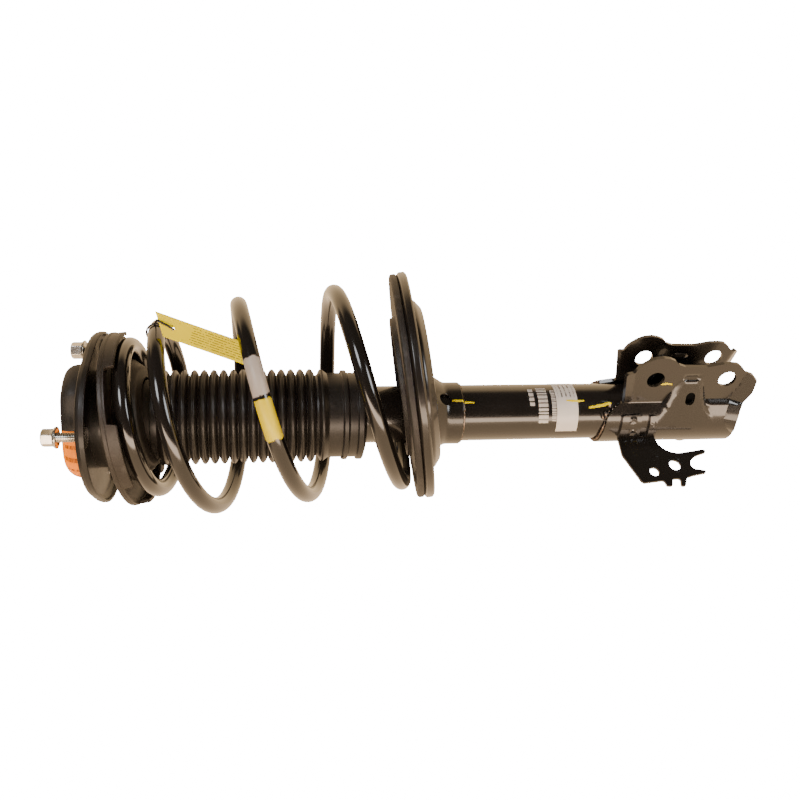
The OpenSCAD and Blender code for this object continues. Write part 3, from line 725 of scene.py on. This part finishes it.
def make_spring(material):
    turns = np.linspace(0, TURNS, 640)
    line = coil_line(turns)
    mesh = bpy.data.meshes.new("coil")
    mesh.from_pydata((moved(line, SPRING) * MM).tolist(), [(i, i + 1) for i in range(len(line) - 1)], [])
    mesh.attributes.new("turn", "FLOAT", "POINT").data.foreach_set("value", turns.astype(np.float32))
    mesh.materials.append(material)
    item = add_object("coil", mesh)
    group = bpy.data.node_groups.new("wire", "GeometryNodeTree")
    for way in ("INPUT", "OUTPUT"):
        group.interface.new_socket("Geometry", in_out=way, socket_type="NodeSocketGeometry")
    t = Nodes(group)
    source = t.add("NodeGroupInput")
    line_of = t.add("GeometryNodeMeshToCurve", {"Mesh": source.outputs[0]})
    ring = t.add("GeometryNodeCurvePrimitiveCircle", {"Resolution": 28, "Radius": WIRE_R * MM}, mode="RADIUS")
    wire = t.add("GeometryNodeCurveToMesh", {"Curve": line_of.outputs[0], "Profile Curve": ring.outputs[0],
                                             "Fill Caps": True})
    dressed = t.add("GeometryNodeSetMaterial", {"Geometry": wire.outputs[0], "Material": material})
    shade = t.add("GeometryNodeSetShadeSmooth", {"Geometry": dressed.outputs[0]})
    t.add("NodeGroupOutput", {0: shade.outputs[0]})
    item.modifiers.new("wire", "NODES").node_group = group
    even_blend(item)
    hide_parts("coil_spring")


# ---- boot, tag

def make_boot(material):
    crest, pitch, folds = -57.8, 8.33, 16

    def wave(z):
        return (0.5 + 0.5 * math.cos(FULL * (z - crest) / pitch)) ** 0.4
    outer = [(33.7, -46.9), (34.9, -46.9), (35.3, -47.6), (35.4, -52.2)]
    for k in range(folds * 14 + 1):
        z = crest + pitch / 2 - k * pitch / 14
        outer.append((35.6 + 5.9 * wave(z), z))
    end = crest + pitch / 2 - folds * pitch
    cuff = fillet([(35.7, end - 0.5), (36.2, end - 2.2, 1), (41.0, end - 4.4, 1.5), (41.0, end - 6.4, 1.5),
                   (37.7, end - 10.5, 2), (37.7, -209.5, 0.6), (40.1, -210.6, 0.8), (40.1, -214.2, 0.8),
                   (37.9, -215.4, 0.6), (37.7, -222.2, 0.6), (40.0, -223.2, 0.8), (40.1, -227.6, 1.2),
                   (38.6, -228.5, 0.8), (36.6, -228.5)], 4)
    inner = [(36.6, -212), (36.4, end - 9.5), (34.8, end - 1)]
    for k in range(folds * 4, -1, -1):
        z = crest + pitch / 2 - k * pitch / 4
        inner.append((34.7 + 5.6 * wave(z), z))
    inner.append((33.7, -52.6))
    verts, faces = revolve(outer + cuff + inner, 112)
    item = piece("boot", (verts, faces), material, None, ["dust_boot"])
    even_blend(item)


def make_boot_ring(material):
    face = fillet([(25.85, -223.6, 0.4), (36.3, -223.6, 0.6), (36.3, -229.2, 0.6), (32.6, -230.4, 0.6),
                   (30.6, -230.5, 0.5), (25.85, -230.5, 0.5)])
    piece("boot_end_ring", revolve(face, 120), material, "boot_guide", ["boot_ring"])


TAG_TURN = turn_z(-50.5)
TAG = (TAG_TURN @ turn_y(90) @ turn_z(-19.8), TAG_TURN @ np.array([60, 73.5, -67.75]))
TIE = (TAG_TURN @ turn_z(-25) @ turn_y(90), TAG_TURN @ np.array([41, 70.9, -54.9]))


def make_tag(card, nylon):
    """A card with one slanted end, and a tie round the coil's wire whose tail goes through the card."""
    length, half, end = 69.5, 8.7, -16

    def place(s, t):
        bow = -1.6 * np.sin(np.pi * s / length) + 0.9 * (t / 11) ** 2 * (s / length)
        return np.stack([s, t, bow], 1)
    blank = [(end, half), (-3.4, -half), (length, -half), (length, half)]
    verts, faces, flat = sheet(blank, [circle(2.0, -0.2, 1.3, 24)], 2.0, place, 0.45)
    uv = np.stack([(flat[:, 0] - end) / (length - end), (flat[:, 1] + half) / (2 * half)], 1)
    piece("tag", (verts, faces), card, "spring_top", ["warning_tag"], uv=uv, place=TAG)
    ring_r, thick = 8.2, 0.85
    turns = [rad(a) for a in range(0, 361, 8)]
    loop = tube([(ring_r * math.cos(a), ring_r * math.sin(a), 0.0) for a in turns], thick)
    path = [(40.6, 76.2, -51.6), (42.6, 78.2, -53.2), (48, 79.4, -54.9), (55, 80.2, -56.0),
            (59.6, 80.0, -56.8), (61.6, 79.0, -58.4), (62.2, 77.2, -61.5), (62.1, 75.2, -65.2),
            (61.6, 73.4, -68.4), (60.4, 72.7, -69.5), (58.4, 72.5, -69.9)]
    tail = tube([TAG_TURN @ np.array(p) for p in path], thick)
    piece("tie", joined([laid(loop, TIE), tail]), nylon, "spring_top", ["tag_tie"])


# ---- damper tube and lower seat

def cut_away(item, cutter):
    """Takes a closed form, in the row frame's millimetres, away from an object."""
    mesh = bpy.data.meshes.new("cutter")
    mesh.from_pydata((np.asarray(cutter[0], float) * MM).tolist(), [], cutter[1])
    tool = add_object("cutter", mesh)
    step = item.modifiers.new("cut", "BOOLEAN")
    step.operation = "DIFFERENCE"
    step.solver = "EXACT"
    step.object = tool
    bpy.context.view_layer.update()
    result = bpy.data.meshes.new_from_object(item.evaluated_get(bpy.context.evaluated_depsgraph_get()))
    item.modifiers.clear()
    item.data = result
    item.modifiers.new("normals", "WEIGHTED_NORMAL").weight = 60
    bpy.data.objects.remove(tool)


def rod_cutter(radius, low, high, place=LEVEL, count=96):
    return laid(revolve([(0.01, low), (radius, low), (radius, high), (0.01, high)], count), place)


def make_tube(material):
    face = fillet([(22.95, -569, 0.5), (25.5, -569, 0.8), (25.5, -218.2, 1.2), (22.95, -218.2, 0.4)])
    piece("tube", revolve(face, 160), material, "damper_tube", ["strut_tube"])


def make_lower_seat(material, rubber):
    """The dish with its rim under the rubber pad, and the collar that is welded to the tube."""
    rim = LOWER_FACE - 6
    shift = np.array([-2.3, -1.9, 0])
    floor = rim - 18
    dish = revolve(fillet([
        (74, rim - 3.3, 2), (91.6, rim - 3.3, 2), (93.6, rim - 7.6, 1.5), (96.2, rim - 9, 1.5),
        (98.6, rim - 7, 1.5), (98.6, rim - 2.2, 1.8), (96.2, rim - 0.3, 1.2), (74, rim - 0.3, 1),
        (71, rim - 3, 2), (71, floor + 6, 3), (64, floor + 3, 3), (20, floor + 3), (20, floor),
        (66, floor, 4), (74, floor + 6, 5)], 5), 200)
    skirt = revolve(fillet([(25.62, -317.4, 0.6), (28.2, -317.4, 0.8), (28.2, -303, 9), (39, -286, 3),
                            (39, -282, 1), (36, -282, 1), (25.62, -301, 3)], 6), 120)
    item = piece("lower_dish", laid(dish, SPRING, shift), material, None)
    cut_away(item, rod_cutter(25.62, -340, -200))
    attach(item, "damper_tube")
    collar = piece("lower_collar", skirt, material, None, ["lower_spring_seat"])
    turn = turn_z(-25) @ turn_y(90)
    cut_away(collar, rod_cutter(5.6, 24, 34, (turn, np.array([0, 0, -301.0])), 48))
    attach(collar, "damper_tube")
    pad = revolve(fillet([(56, rim, 0.8), (97.6, rim, 1.5), (97.6, LOWER_FACE, 2.5), (61, LOWER_FACE, 0.6),
                          (60, LOWER_FACE + 4, 1), (56, LOWER_FACE + 4, 1)], 5), 200)
    base = piece("pad", laid(pad, SPRING, shift), rubber, None, ["lower_pad"])
    cut_away(base, rod_cutter(27, -340, -200))
    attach(base, "damper_tube")


def on_tube(radius):
    """Lays a blank on the tube: s is along the girth and t is the height; radius may depend on the height."""
    def place(s, t):
        a = s / TUBE_R
        r = radius(t) if callable(radius) else radius
        return np.stack([r * np.cos(a), r * np.sin(a), t + 0 * s], 1)
    return place


def make_tube_label(material):
    """One band round the tube."""
    low, high, wide = rad(-95) * TUBE_R, rad(70) * TUBE_R, 20
    bottom = -424
    blank = [(low, bottom), (high, bottom), (high, bottom + wide), (low, bottom + wide)]
    verts, faces, flat = sheet(blank, [], 2.0, on_tube(TUBE_R + 0.1), 0.14)
    uv = np.stack([(flat[:, 0] - low) / (high - low), (flat[:, 1] - bottom) / wide], 1)
    piece("tube_band", (verts, faces), material, "damper_tube", ["tube_label"], uv=uv)


def make_print(material):
    """Plain bars, in three rows along the girth, where the real tube has its print."""
    parts = []
    random.seed(5)
    for low, high, first, last, width, space in ((-383.5, -379, -38, 2, 7, 3), (-396, -387, -74, 6, 6, 2.4),
                                                 (-403.5, -399.5, -70, 0, 3.4, 1.4)):
        a = first
        while a < last:
            wide = width * random.uniform(0.6, 1.3)
            near, far = rad(a) * TUBE_R, rad(a + wide) * TUBE_R
            blank = [(near, low), (far, low), (far, high), (near, high)]
            parts.append(sheet(blank, [], 1.6, on_tube(TUBE_R + 0.04), 0.05)[:2])
            a += wide + space
    piece("tube_print", joined(parts), material, "damper_tube")


def stroke(start, end, width, seed, wobble=0.5):
    """Outline of a hand-brushed stroke between two points of a blank."""
    random.seed(seed)
    start, end = np.array(start, float), np.array(end, float)
    along = (end - start) / np.linalg.norm(end - start)
    across = np.array([-along[1], along[0]])
    length = np.linalg.norm(end - start)
    count = max(8, int(length / 1.6))
    wave = [wobble * math.sin(1.7 * seed + 2.6 * k / count) for k in range(count + 1)]
    top, bottom = [], []
    for k in range(count + 1):
        x = k / count
        half = width / 2 * (0.35 + 0.65 * math.sin(math.pi * min(1, max(0, x * 0.9 + 0.05))) ** 0.4)
        middle = start + along * length * x + across * wave[k]
        top.append(middle + across * half * random.uniform(0.8, 1.15))
        bottom.append(middle - across * half * random.uniform(0.8, 1.15))
    return [tuple(p) for p in bottom + top[::-1]]


def make_strokes(material):
    """Hand marks across the collar's edge, the label, the wrap's edge and the near ear."""
    def girth(a):
        return rad(a) * TUBE_R

    def collar(t):
        return 25.7 + 2.75 * smooth_step((t + 318.5) / 1.6)

    def wrap(t):
        return 25.7 + 3.75 * smooth_step((-447 - t) / 3.5)

    def on_ear(s, t):
        return bracket_point(s, t, EAR_T / 2 + 0.05)
    parts = []
    for start, end, width, seed, radius in (
            ((girth(-28), -307), (girth(-28.5), -328), 1.9, 1, collar),
            ((girth(-27), -413.5), (girth(-28.5), -430), 2.0, 2, 25.72),
            ((girth(-42), -434), (girth(-38), -454), 2.7, 3, wrap)):
        parts.append(sheet(stroke(start, end, width, seed), [], 0.9, on_tube(radius), 0.12)[:2])
    ear = stroke((FOLD_S + 20.0, -496), (FOLD_S + 20.6, -506.5), 2.0, 4, 0.9)
    parts.append(sheet(ear, [], 0.9, on_ear, 0.12)[:2])
    piece("paint_strokes", joined(parts), material, "damper_tube")


# ---- knuckle bracket

BOLT_A, BOLT_B, BOLT_X = -489.5, -558.0, 50
EAR_T = 3.5
WRAP_R = 27.35           # middle of the wrap's sheet
EAR_Y = 16.25            # middle of an ear's sheet
FOLD_X = 24.4


def along(path, s, e):
    """Place and direction across it at length s on a path of lengths, x and y."""
    x, y = np.interp(s, path[0], path[1]), np.interp(s, path[0], path[2])
    tx = np.interp(s + e, path[0], path[1]) - np.interp(s - e, path[0], path[1])
    ty = np.interp(s + e, path[0], path[2]) - np.interp(s - e, path[0], path[2])
    size = np.hypot(tx, ty)
    return x, y, ty / size, -tx / size


def measured(points):
    """A path's lengths, x and y."""
    points = np.array(points)
    lengths = np.concatenate([[0], np.cumsum(np.hypot(*np.diff(points, axis=0).T))])
    return lengths, points[:, 0], points[:, 1]


def bracket_path():
    """Section of the near half from the back of the wrap to the ear's edge: lengths, x and y."""
    reach = math.hypot(FOLD_X, EAR_Y)
    leave = -math.atan2(EAR_Y, FOLD_X) - math.acos(WRAP_R / reach)
    arc = [(WRAP_R * math.cos(a), WRAP_R * math.sin(a)) for a in np.linspace(-math.pi, leave, 120)]
    bend = fillet([arc[-1], (FOLD_X, -EAR_Y, 4.5), (90, -EAR_Y), (90, 40)], 10)[1:-1]
    return measured(arc + bend)


PATH = bracket_path()


def length_at(x):
    return float(np.interp(x, PATH[1], PATH[0]))


FOLD_S = length_at(FOLD_X)


def line(x, *knots):
    """A line through (x, height) knots, smooth enough for the edge of a pressing."""
    return np.interp(x, [k[0] for k in knots], [k[1] for k in knots])


def bracket_point(s, t, out=0.0):
    """The bracket's middle surface with its pressed forms; out lifts the point off that surface."""
    s, t = np.broadcast_arrays(np.asarray(s, float), np.asarray(t, float))
    side = np.where(s < 0, -1.0, 1.0)
    length = np.abs(s)
    x, y, nx, ny = along(PATH, length, 0.3)
    # gusset between the bolt holes, and the shallower shoulder below it
    slope = -26.7 + 0.2217 * (x - 5.92)
    left = line(x, (-5, -499), (8, -499), (15, -500), (24, -502.5), (32, -506), (41, -509.5), (50, -513),
                (60, -516))
    right = line(x, (-5, -566), (8, -556), (14.5, -551), (24, -545), (32, -541.8), (53, -533.5), (60, -532))
    press = smooth_step((left - t) / 4.5) * smooth_step((t - right) / 4.5)
    press = press * smooth_step((57 - x) / 2) * (x > 5.92)
    shoulder = 0.5 * smooth_step((right + 4 - t) / 5) * smooth_step((26.5 - x) / 3)
    press = np.maximum(press, shoulder * (x > 2))
    y = y + (np.minimum(slope, y) - y) * press
    # sunk shelf at the gusset's upper end
    shelf = smooth_step((x - 47.2) / 1.4) * smooth_step((54.6 - x) / 1.4)
    shelf = shelf * smooth_step((-516.2 - t) / 1.4) * smooth_step((t + 531.2) / 1.4)
    lift = -1.5 * shelf
    # margin next to the coil, turned out a little
    margin = line(x, (24, -472.5), (58, -468.5))
    lift = lift + 0.30 * np.maximum(0, t - margin) * smooth_step((x - 23) / 4)
    # flange along the slanted lower end
    crease = line(x, (-6, -575), (2, -568), (8, -563.5), (24.4, -566.5), (55, -574.5), (60, -576))
    past = np.maximum(0, crease - t - 0.6) * smooth_step((x + 8) / 10)
    lift = lift + past * 0.62
    z = t + past * 0.20
    # locating dimple at the back of the wrap
    lift = lift + 1.1 * np.exp(-((length - 18) / 3.2) ** 2 - ((t + 533.5) / 2.6) ** 2)
    lift = lift + out
    return np.stack([x + nx * lift, (y + ny * lift) * side, z], -1)


def bracket_edge(margin):
    """Half the blank's outline by distance from the rod and height, from the wrap's top to its bottom."""
    a, b = BOLT_A, BOLT_B
    return [
        (-27.3, -448.5), (-5, -448.2, 20), (12, -450.5, 8), (18, -454.5, 6), (24.2, margin, 3),
        (57.7, margin + 6, 2), (57.9, a + 22, 2), (65, a + 18, 10), (70.5, a + 11, 8), (73.1, a + 6, 8),
        (74.3, a - 2, 8), (73.2, a - 8, 8), (70.7, a - 13.8, 5), (66.5, a - 18, 4), (64.3, a - 24.5, 5),
        (64, b + 23, 8), (65.4, b + 16, 8), (67.1, b + 8, 8), (67.3, b - 1, 8), (66.7, b - 6, 6),
        (62, b - 12, 6), (57, b - 16.5, 1), (57, b - 22, 2), (52, b - 28.5, 4), (40, b - 28, 8),
        (24, b - 21.5, 8), (8, b - 18, 6), (2, b - 18.5, 3), (-4, -577), (-27.3, -577)]


def make_bracket(material):
    """The folded blank with its bolt holes, a slot on each side and the window at the wrap's back."""
    near = [(length_at(x), z, *r) for x, z, *r in bracket_edge(-465)]
    far = [(-length_at(x), z, *r) for x, z, *r in bracket_edge(-469)][::-1]
    outline = fillet(near[1:-1] + far[1:-1], 4)
    holes = [circle(sign * length_at(BOLT_X), z, 8.2) for sign in (1, -1) for z in (BOLT_A, BOLT_B)]
    low, high, round_r = -530.4, -521.6, 4.39
    first, last = length_at(24.6), length_at(37.2)
    holes.append(fillet([(first, low, round_r), (last, low, round_r), (last, high, round_r),
                         (first, high, round_r)], 8))
    holes.append(fillet([(-first, low, round_r), (-first, high, round_r), (-last, high, round_r),
                         (-last, low, round_r)], 8))
    half, top, bottom = 24.5, -499, -530
    holes.append(fillet([(-half, bottom, 6), (half, bottom, 6), (half, top, 6), (-half, top, 6)], 6))
    form = sheet(outline, holes, 1.9, bracket_point, EAR_T)[:2]
    piece("bracket", form, material, "damper_tube", ["knuckle_bracket"], bevel=0.5)


# ---- hose bracket

HOSE_R = 30.55           # middle of the straps' sheet
HOSE_A = rad(-105)


def hose_path():
    """Section from the plate's outer edge through the fold to the end of the straps."""
    ring = [(HOSE_R * math.cos(a), HOSE_R * math.sin(a)) for a in np.linspace(HOSE_A, rad(-40), 60)]
    outer = (100 * math.cos(HOSE_A), 100 * math.sin(HOSE_A))
    bend = fillet([outer, (*ring[0], 2.2), ring[4], (0, 0)], 8)[1:-2]
    lengths, x, y = measured([outer] + bend + ring[4:])
    return lengths - (100 - HOSE_R), x, y


HOSE_PATH = hose_path()


def hose_point(s, t):
    """s is minus the distance from the fold on the plate, and the length past the fold on the straps."""
    s, t = np.broadcast_arrays(np.asarray(s, float), np.asarray(t, float))
    x, y, nx, ny = along(HOSE_PATH, s, 0.2)
    lift = np.zeros(s.shape)
    # spot welds pressed into the straps: a ring with a sunk middle
    for s0, t0, r in ((18.5, -474.4, 2.9), (6.5, -475.5, 3.0), (15.5, -494.5, 2.0)):
        d = np.hypot(s - s0, t - t0)
        lift = lift + 0.55 * np.exp(-((d - r) / 0.75) ** 2) - 0.35 * np.exp(-(d / (r * 0.6)) ** 2)
    # angled mark pressed into the plate, and the rim round the larger hole
    for a, b in (((-28.5, -489.5), (-24.8, -491)), ((-24.8, -491), (-22.5, -495.5))):
        ab = (b[0] - a[0], b[1] - a[1])
        share = np.clip(((s - a[0]) * ab[0] + (t - a[1]) * ab[1]) / (ab[0] ** 2 + ab[1] ** 2), 0, 1)
        d = np.hypot(s - a[0] - share * ab[0], t - a[1] - share * ab[1])
        lift = lift + 0.35 * np.exp(-(d / 0.8) ** 2)
    d = np.hypot(s + 62.3 - HOSE_R, t + 510.5)
    lift = lift + 0.5 * np.exp(-((d - 6.6) / 0.7) ** 2)
    return np.stack([x + nx * lift, y + ny * lift, t], -1)


def make_hose_bracket(material):
    """The plate's outline by distance from the rod and height, then the two straps."""
    plate = [(30, -463.6), (50, -463.2, 6), (78.2, -474.6, 2), (79.9, -476.9, 2), (77.8, -496.1, 2.5),
             (83.6, -497.4, 1.6), (83.8, -502.5, 1.6), (76.6, -504.5, 2), (76.2, -512.2, 2),
             (84, -510.7, 1.4), (84.2, -514.8, 1.4), (75.6, -518.6, 3), (73.6, -524.9, 4),
             (71.3, -537.8, 1.5), (68.8, -538.9, 1.5), (66.7, -528.6, 2.5), (64.6, -526.3, 2.5),
             (61.3, -525.8, 3), (58.4, -527, 3), (55.9, -529.2, 3), (53.4, -532.7, 2.5), (51.8, -536.3, 2),
             (49.6, -544, 1.4), (46.5, -544.7, 1.4), (46.4, -540.6, 3), (48.6, -525.2, 8),
             (49.5, -518.3, 8), (49.2, -514.6, 6), (47.7, -509.7, 6), (45.5, -505.9, 6), (42.5, -502.7, 6),
             (38.8, -500.6, 6), (33.3, -499.2, 4)]
    end = HOSE_R * rad(45)
    straps = [(end - 1, -498.2, 1.2), (end, -490.9, 1.2), (2.5, -490.9, 2.6), (2.5, -482.7, 2.6),
              (end + 1, -482.7, 1.2), (end, -464.4, 1.2)]
    outline = fillet([(HOSE_R - r, z, *corner) for r, z, *corner in plate[1:]] + straps
                     + [(HOSE_R - plate[0][0], plate[0][1])], 4)
    holes = [circle(HOSE_R - 68.6, -489.3, 4.4, 28), circle(HOSE_R - 62.3, -510.5, 5.4, 32)]
    form = sheet(outline, holes, 1.1, hose_point, 2.5)[:2]
    piece("hose_plate", form, material, "damper_tube", ["hose_bracket"], bevel=0.45)


# ---- welds

def bead(point_at, span, radius, seed, lumps=0.35):
    """A weld bead along point_at(share): scaled lumps one after another, with an uneven edge."""
    random.seed(seed)
    count = max(12, int(span / 0.9))
    points, radii = [], []
    for k in range(count + 1):
        share = k / count
        ripple = 0.5 + 0.5 * math.sin(span * share * 2.1 + seed)
        wide = radius * (1 - lumps + lumps * ripple) * random.uniform(0.88, 1.1)
        fade = min(1, 6 * share + 0.25, 6 * (1 - share) + 0.25)
        points.append(np.array(point_at(share)) + [random.uniform(-0.2, 0.2) for _ in range(3)])
        radii.append(wide * fade)
    return tube(points, radii, 10)


def ring_point(radius, low, high, z_of):
    def at(share):
        a = low + (high - low) * share
        return radius * math.cos(rad(a)), radius * math.sin(rad(a)), z_of(a)
    return at


def make_welds(material):
    def wrap_top(a):
        x = WRAP_R * math.cos(rad(a))
        return float(line(x, (-27.3, -448.5), (-5, -448.2), (12, -450.5), (18, -454))) + 0.9
    parts = []
    for low, high, radius, seed in ((-47, -36, 2.1, 1), (-68, -60, 1.7, 2), (-178, -72, 1.5, 3),
                                    (36, 178, 1.6, 4), (-59, -49, 1.3, 5)):
        span = abs(high - low) * rad(1) * TUBE_R
        parts.append(bead(ring_point(TUBE_R + 1.2, low, high, wrap_top), span, radius, seed))
    for low, high, seed in ((-178, -95, 6), (-92, -12, 7), (-8, 84, 8), (88, 176, 9)):
        span = abs(high - low) * rad(1) * TUBE_R
        parts.append(bead(ring_point(TUBE_R + 0.9, low, high, lambda a: -318.0), span, 1.0, seed, 0.25))
    for a, z, r in ((-57, -449.2, 1.5), (-50, -456.5, 1.6), (-46, -459.5, 1.1), (-63, -446.6, 0.9)):
        centre = np.array([(TUBE_R + 1.6) * math.cos(rad(a)), (TUBE_R + 1.6) * math.sin(rad(a)), z])
        side = np.array([-math.sin(rad(a)), math.cos(rad(a)), 0.3])
        points = [centre + side * k for k in (-2.2, -1, 0.4, 1.8, 2.6)]
        parts.append(tube(points, [r * k for k in (0.3, 1, 1.1, 0.9, 0.3)], 10))
    piece("weld_seams", joined(parts), material, "damper_tube", ["weld_beads"])


# ---- everything together

def dress(material, *names):
    """Puts a finish on pieces that are carried over from the frame as they are."""
    for name in names:
        for slot in bpy.data.objects[name].material_slots:
            slot.material = material


make_camera()
make_world()
make_floor()

black = (0.0085, 0.0068, 0.0058)
plate_black = paint("plate_black", black, 0.42, 0.2, 0.3, 0.03)
dome_paint = paint("dome_paint", (0.020, 0.018, 0.016), 0.5, 0.0, 0.6, 0.05)
tube_paint = paint("tube_paint", (0.0100, 0.0080, 0.0068), 0.24, 0.85, 0.35, 0.02)
bracket_paint = paint("bracket_paint", (0.0105, 0.0084, 0.0070), 0.25, 0.8, 0.10, 0.02)
seat_paint = paint("seat_paint", (0.0110, 0.0085, 0.0070), 0.3, 0.6, 0.25, 0.03)
bowl_paint = paint("bowl_paint", (0.020, 0.0155, 0.012), 0.5, 0.0, 0.3, 0.04)
boot_rubber = soft("boot_rubber", (0.017, 0.015, 0.0135), 0.34, 240, 0.25, 0.10)
insulator_rubber = soft("insulator_rubber", (0.030, 0.024, 0.019), 0.42, 300, 0.4, 0.25)
rubber = soft("rubber", (0.020, 0.017, 0.015), 0.5, 300, 0.4, 0.2)
foam = soft("foam", (0.55, 0.47, 0.30), 0.9, 500, 0.9)
band = soft("band", (0.02, 0.02, 0.02), 0.4)
race_plastic = soft("race_plastic", (0.05, 0.05, 0.05), 0.4)
ring_plastic = soft("ring_plastic", (0.016, 0.015, 0.014), 0.35)
tie_nylon = soft("tie_nylon", (0.02, 0.018, 0.016), 0.35, 200, 0.1)
zinc = metal("zinc", (0.75, 0.72, 0.68), 0.25, (0.62, 0.60, 0.52))
steel = metal("steel", (0.52, 0.51, 0.50), 0.35)
chrome = metal("chrome", (0.80, 0.80, 0.80), 0.08, None, (1, 1, 8))
ball_steel = metal("ball_steel", (0.70, 0.70, 0.70), 0.12)
weld = metal("weld", (0.10, 0.085, 0.075), 0.30, (0.30, 0.24, 0.20))
# the tag card, the orange film and the yellow paint carry painted glow through emission
tag_card = printed("tag_card", (0.90, 0.74, 0.0), (0.25, 0.19, 0.0), 9, (0.38, 0.97), 0.8, 0.001)
orange_film = printed("orange_film", (1.0, 0.25, 0.0), (0.25, 0.05, 0.0), 6, (0.12, 0.88), 0.5, 0.45)
white_film = printed("white_film", (0.82, 0.78, 0.74), (0.10, 0.09, 0.09), 5, (0.45, 0.68), 0.3)
white_print = soft("white_print", (0.62, 0.58, 0.54), 0.45, 500, 0.2)
yellow_paint = soft("yellow_paint", (0.9, 0.74, 0.0), 0.8, 500, 0.3, 0.0, 0.001)

dress(rubber, "mount_rubber")
dress(zinc, "inner_sleeve", "upper_washer", "lower_washer", "rod_nut")
dress(plate_black, "bearing_carrier", "tube_cap", "tube_end_cap")
dress(race_plastic, "bearing_upper_race", "bearing_lower_race")
dress(steel, "piston", "piston_nut", "rebound_stop", "pressure_tube", "base_valve", "rod_guide")
dress(chrome, "piston_rod")
dress(ball_steel, "bearing_balls")
dress(foam, "bump_stop")
dress(band, "piston_ring", "oil_seal")

make_plate(plate_black)
make_dome(dome_paint)
make_studs(zinc)
make_nuts(zinc)
make_dome_label(orange_film)
make_insulator(insulator_rubber)
make_upper_seat(bowl_paint)
make_spring(spring_paint())
make_boot(boot_rubber)
make_boot_ring(ring_plastic)
make_tag(tag_card, tie_nylon)
make_tube(tube_paint)
make_lower_seat(seat_paint, rubber)
make_tube_label(white_film)
make_print(white_print)
make_bracket(bracket_paint)
make_hose_bracket(bracket_paint)
make_welds(weld)
make_strokes(yellow_paint)
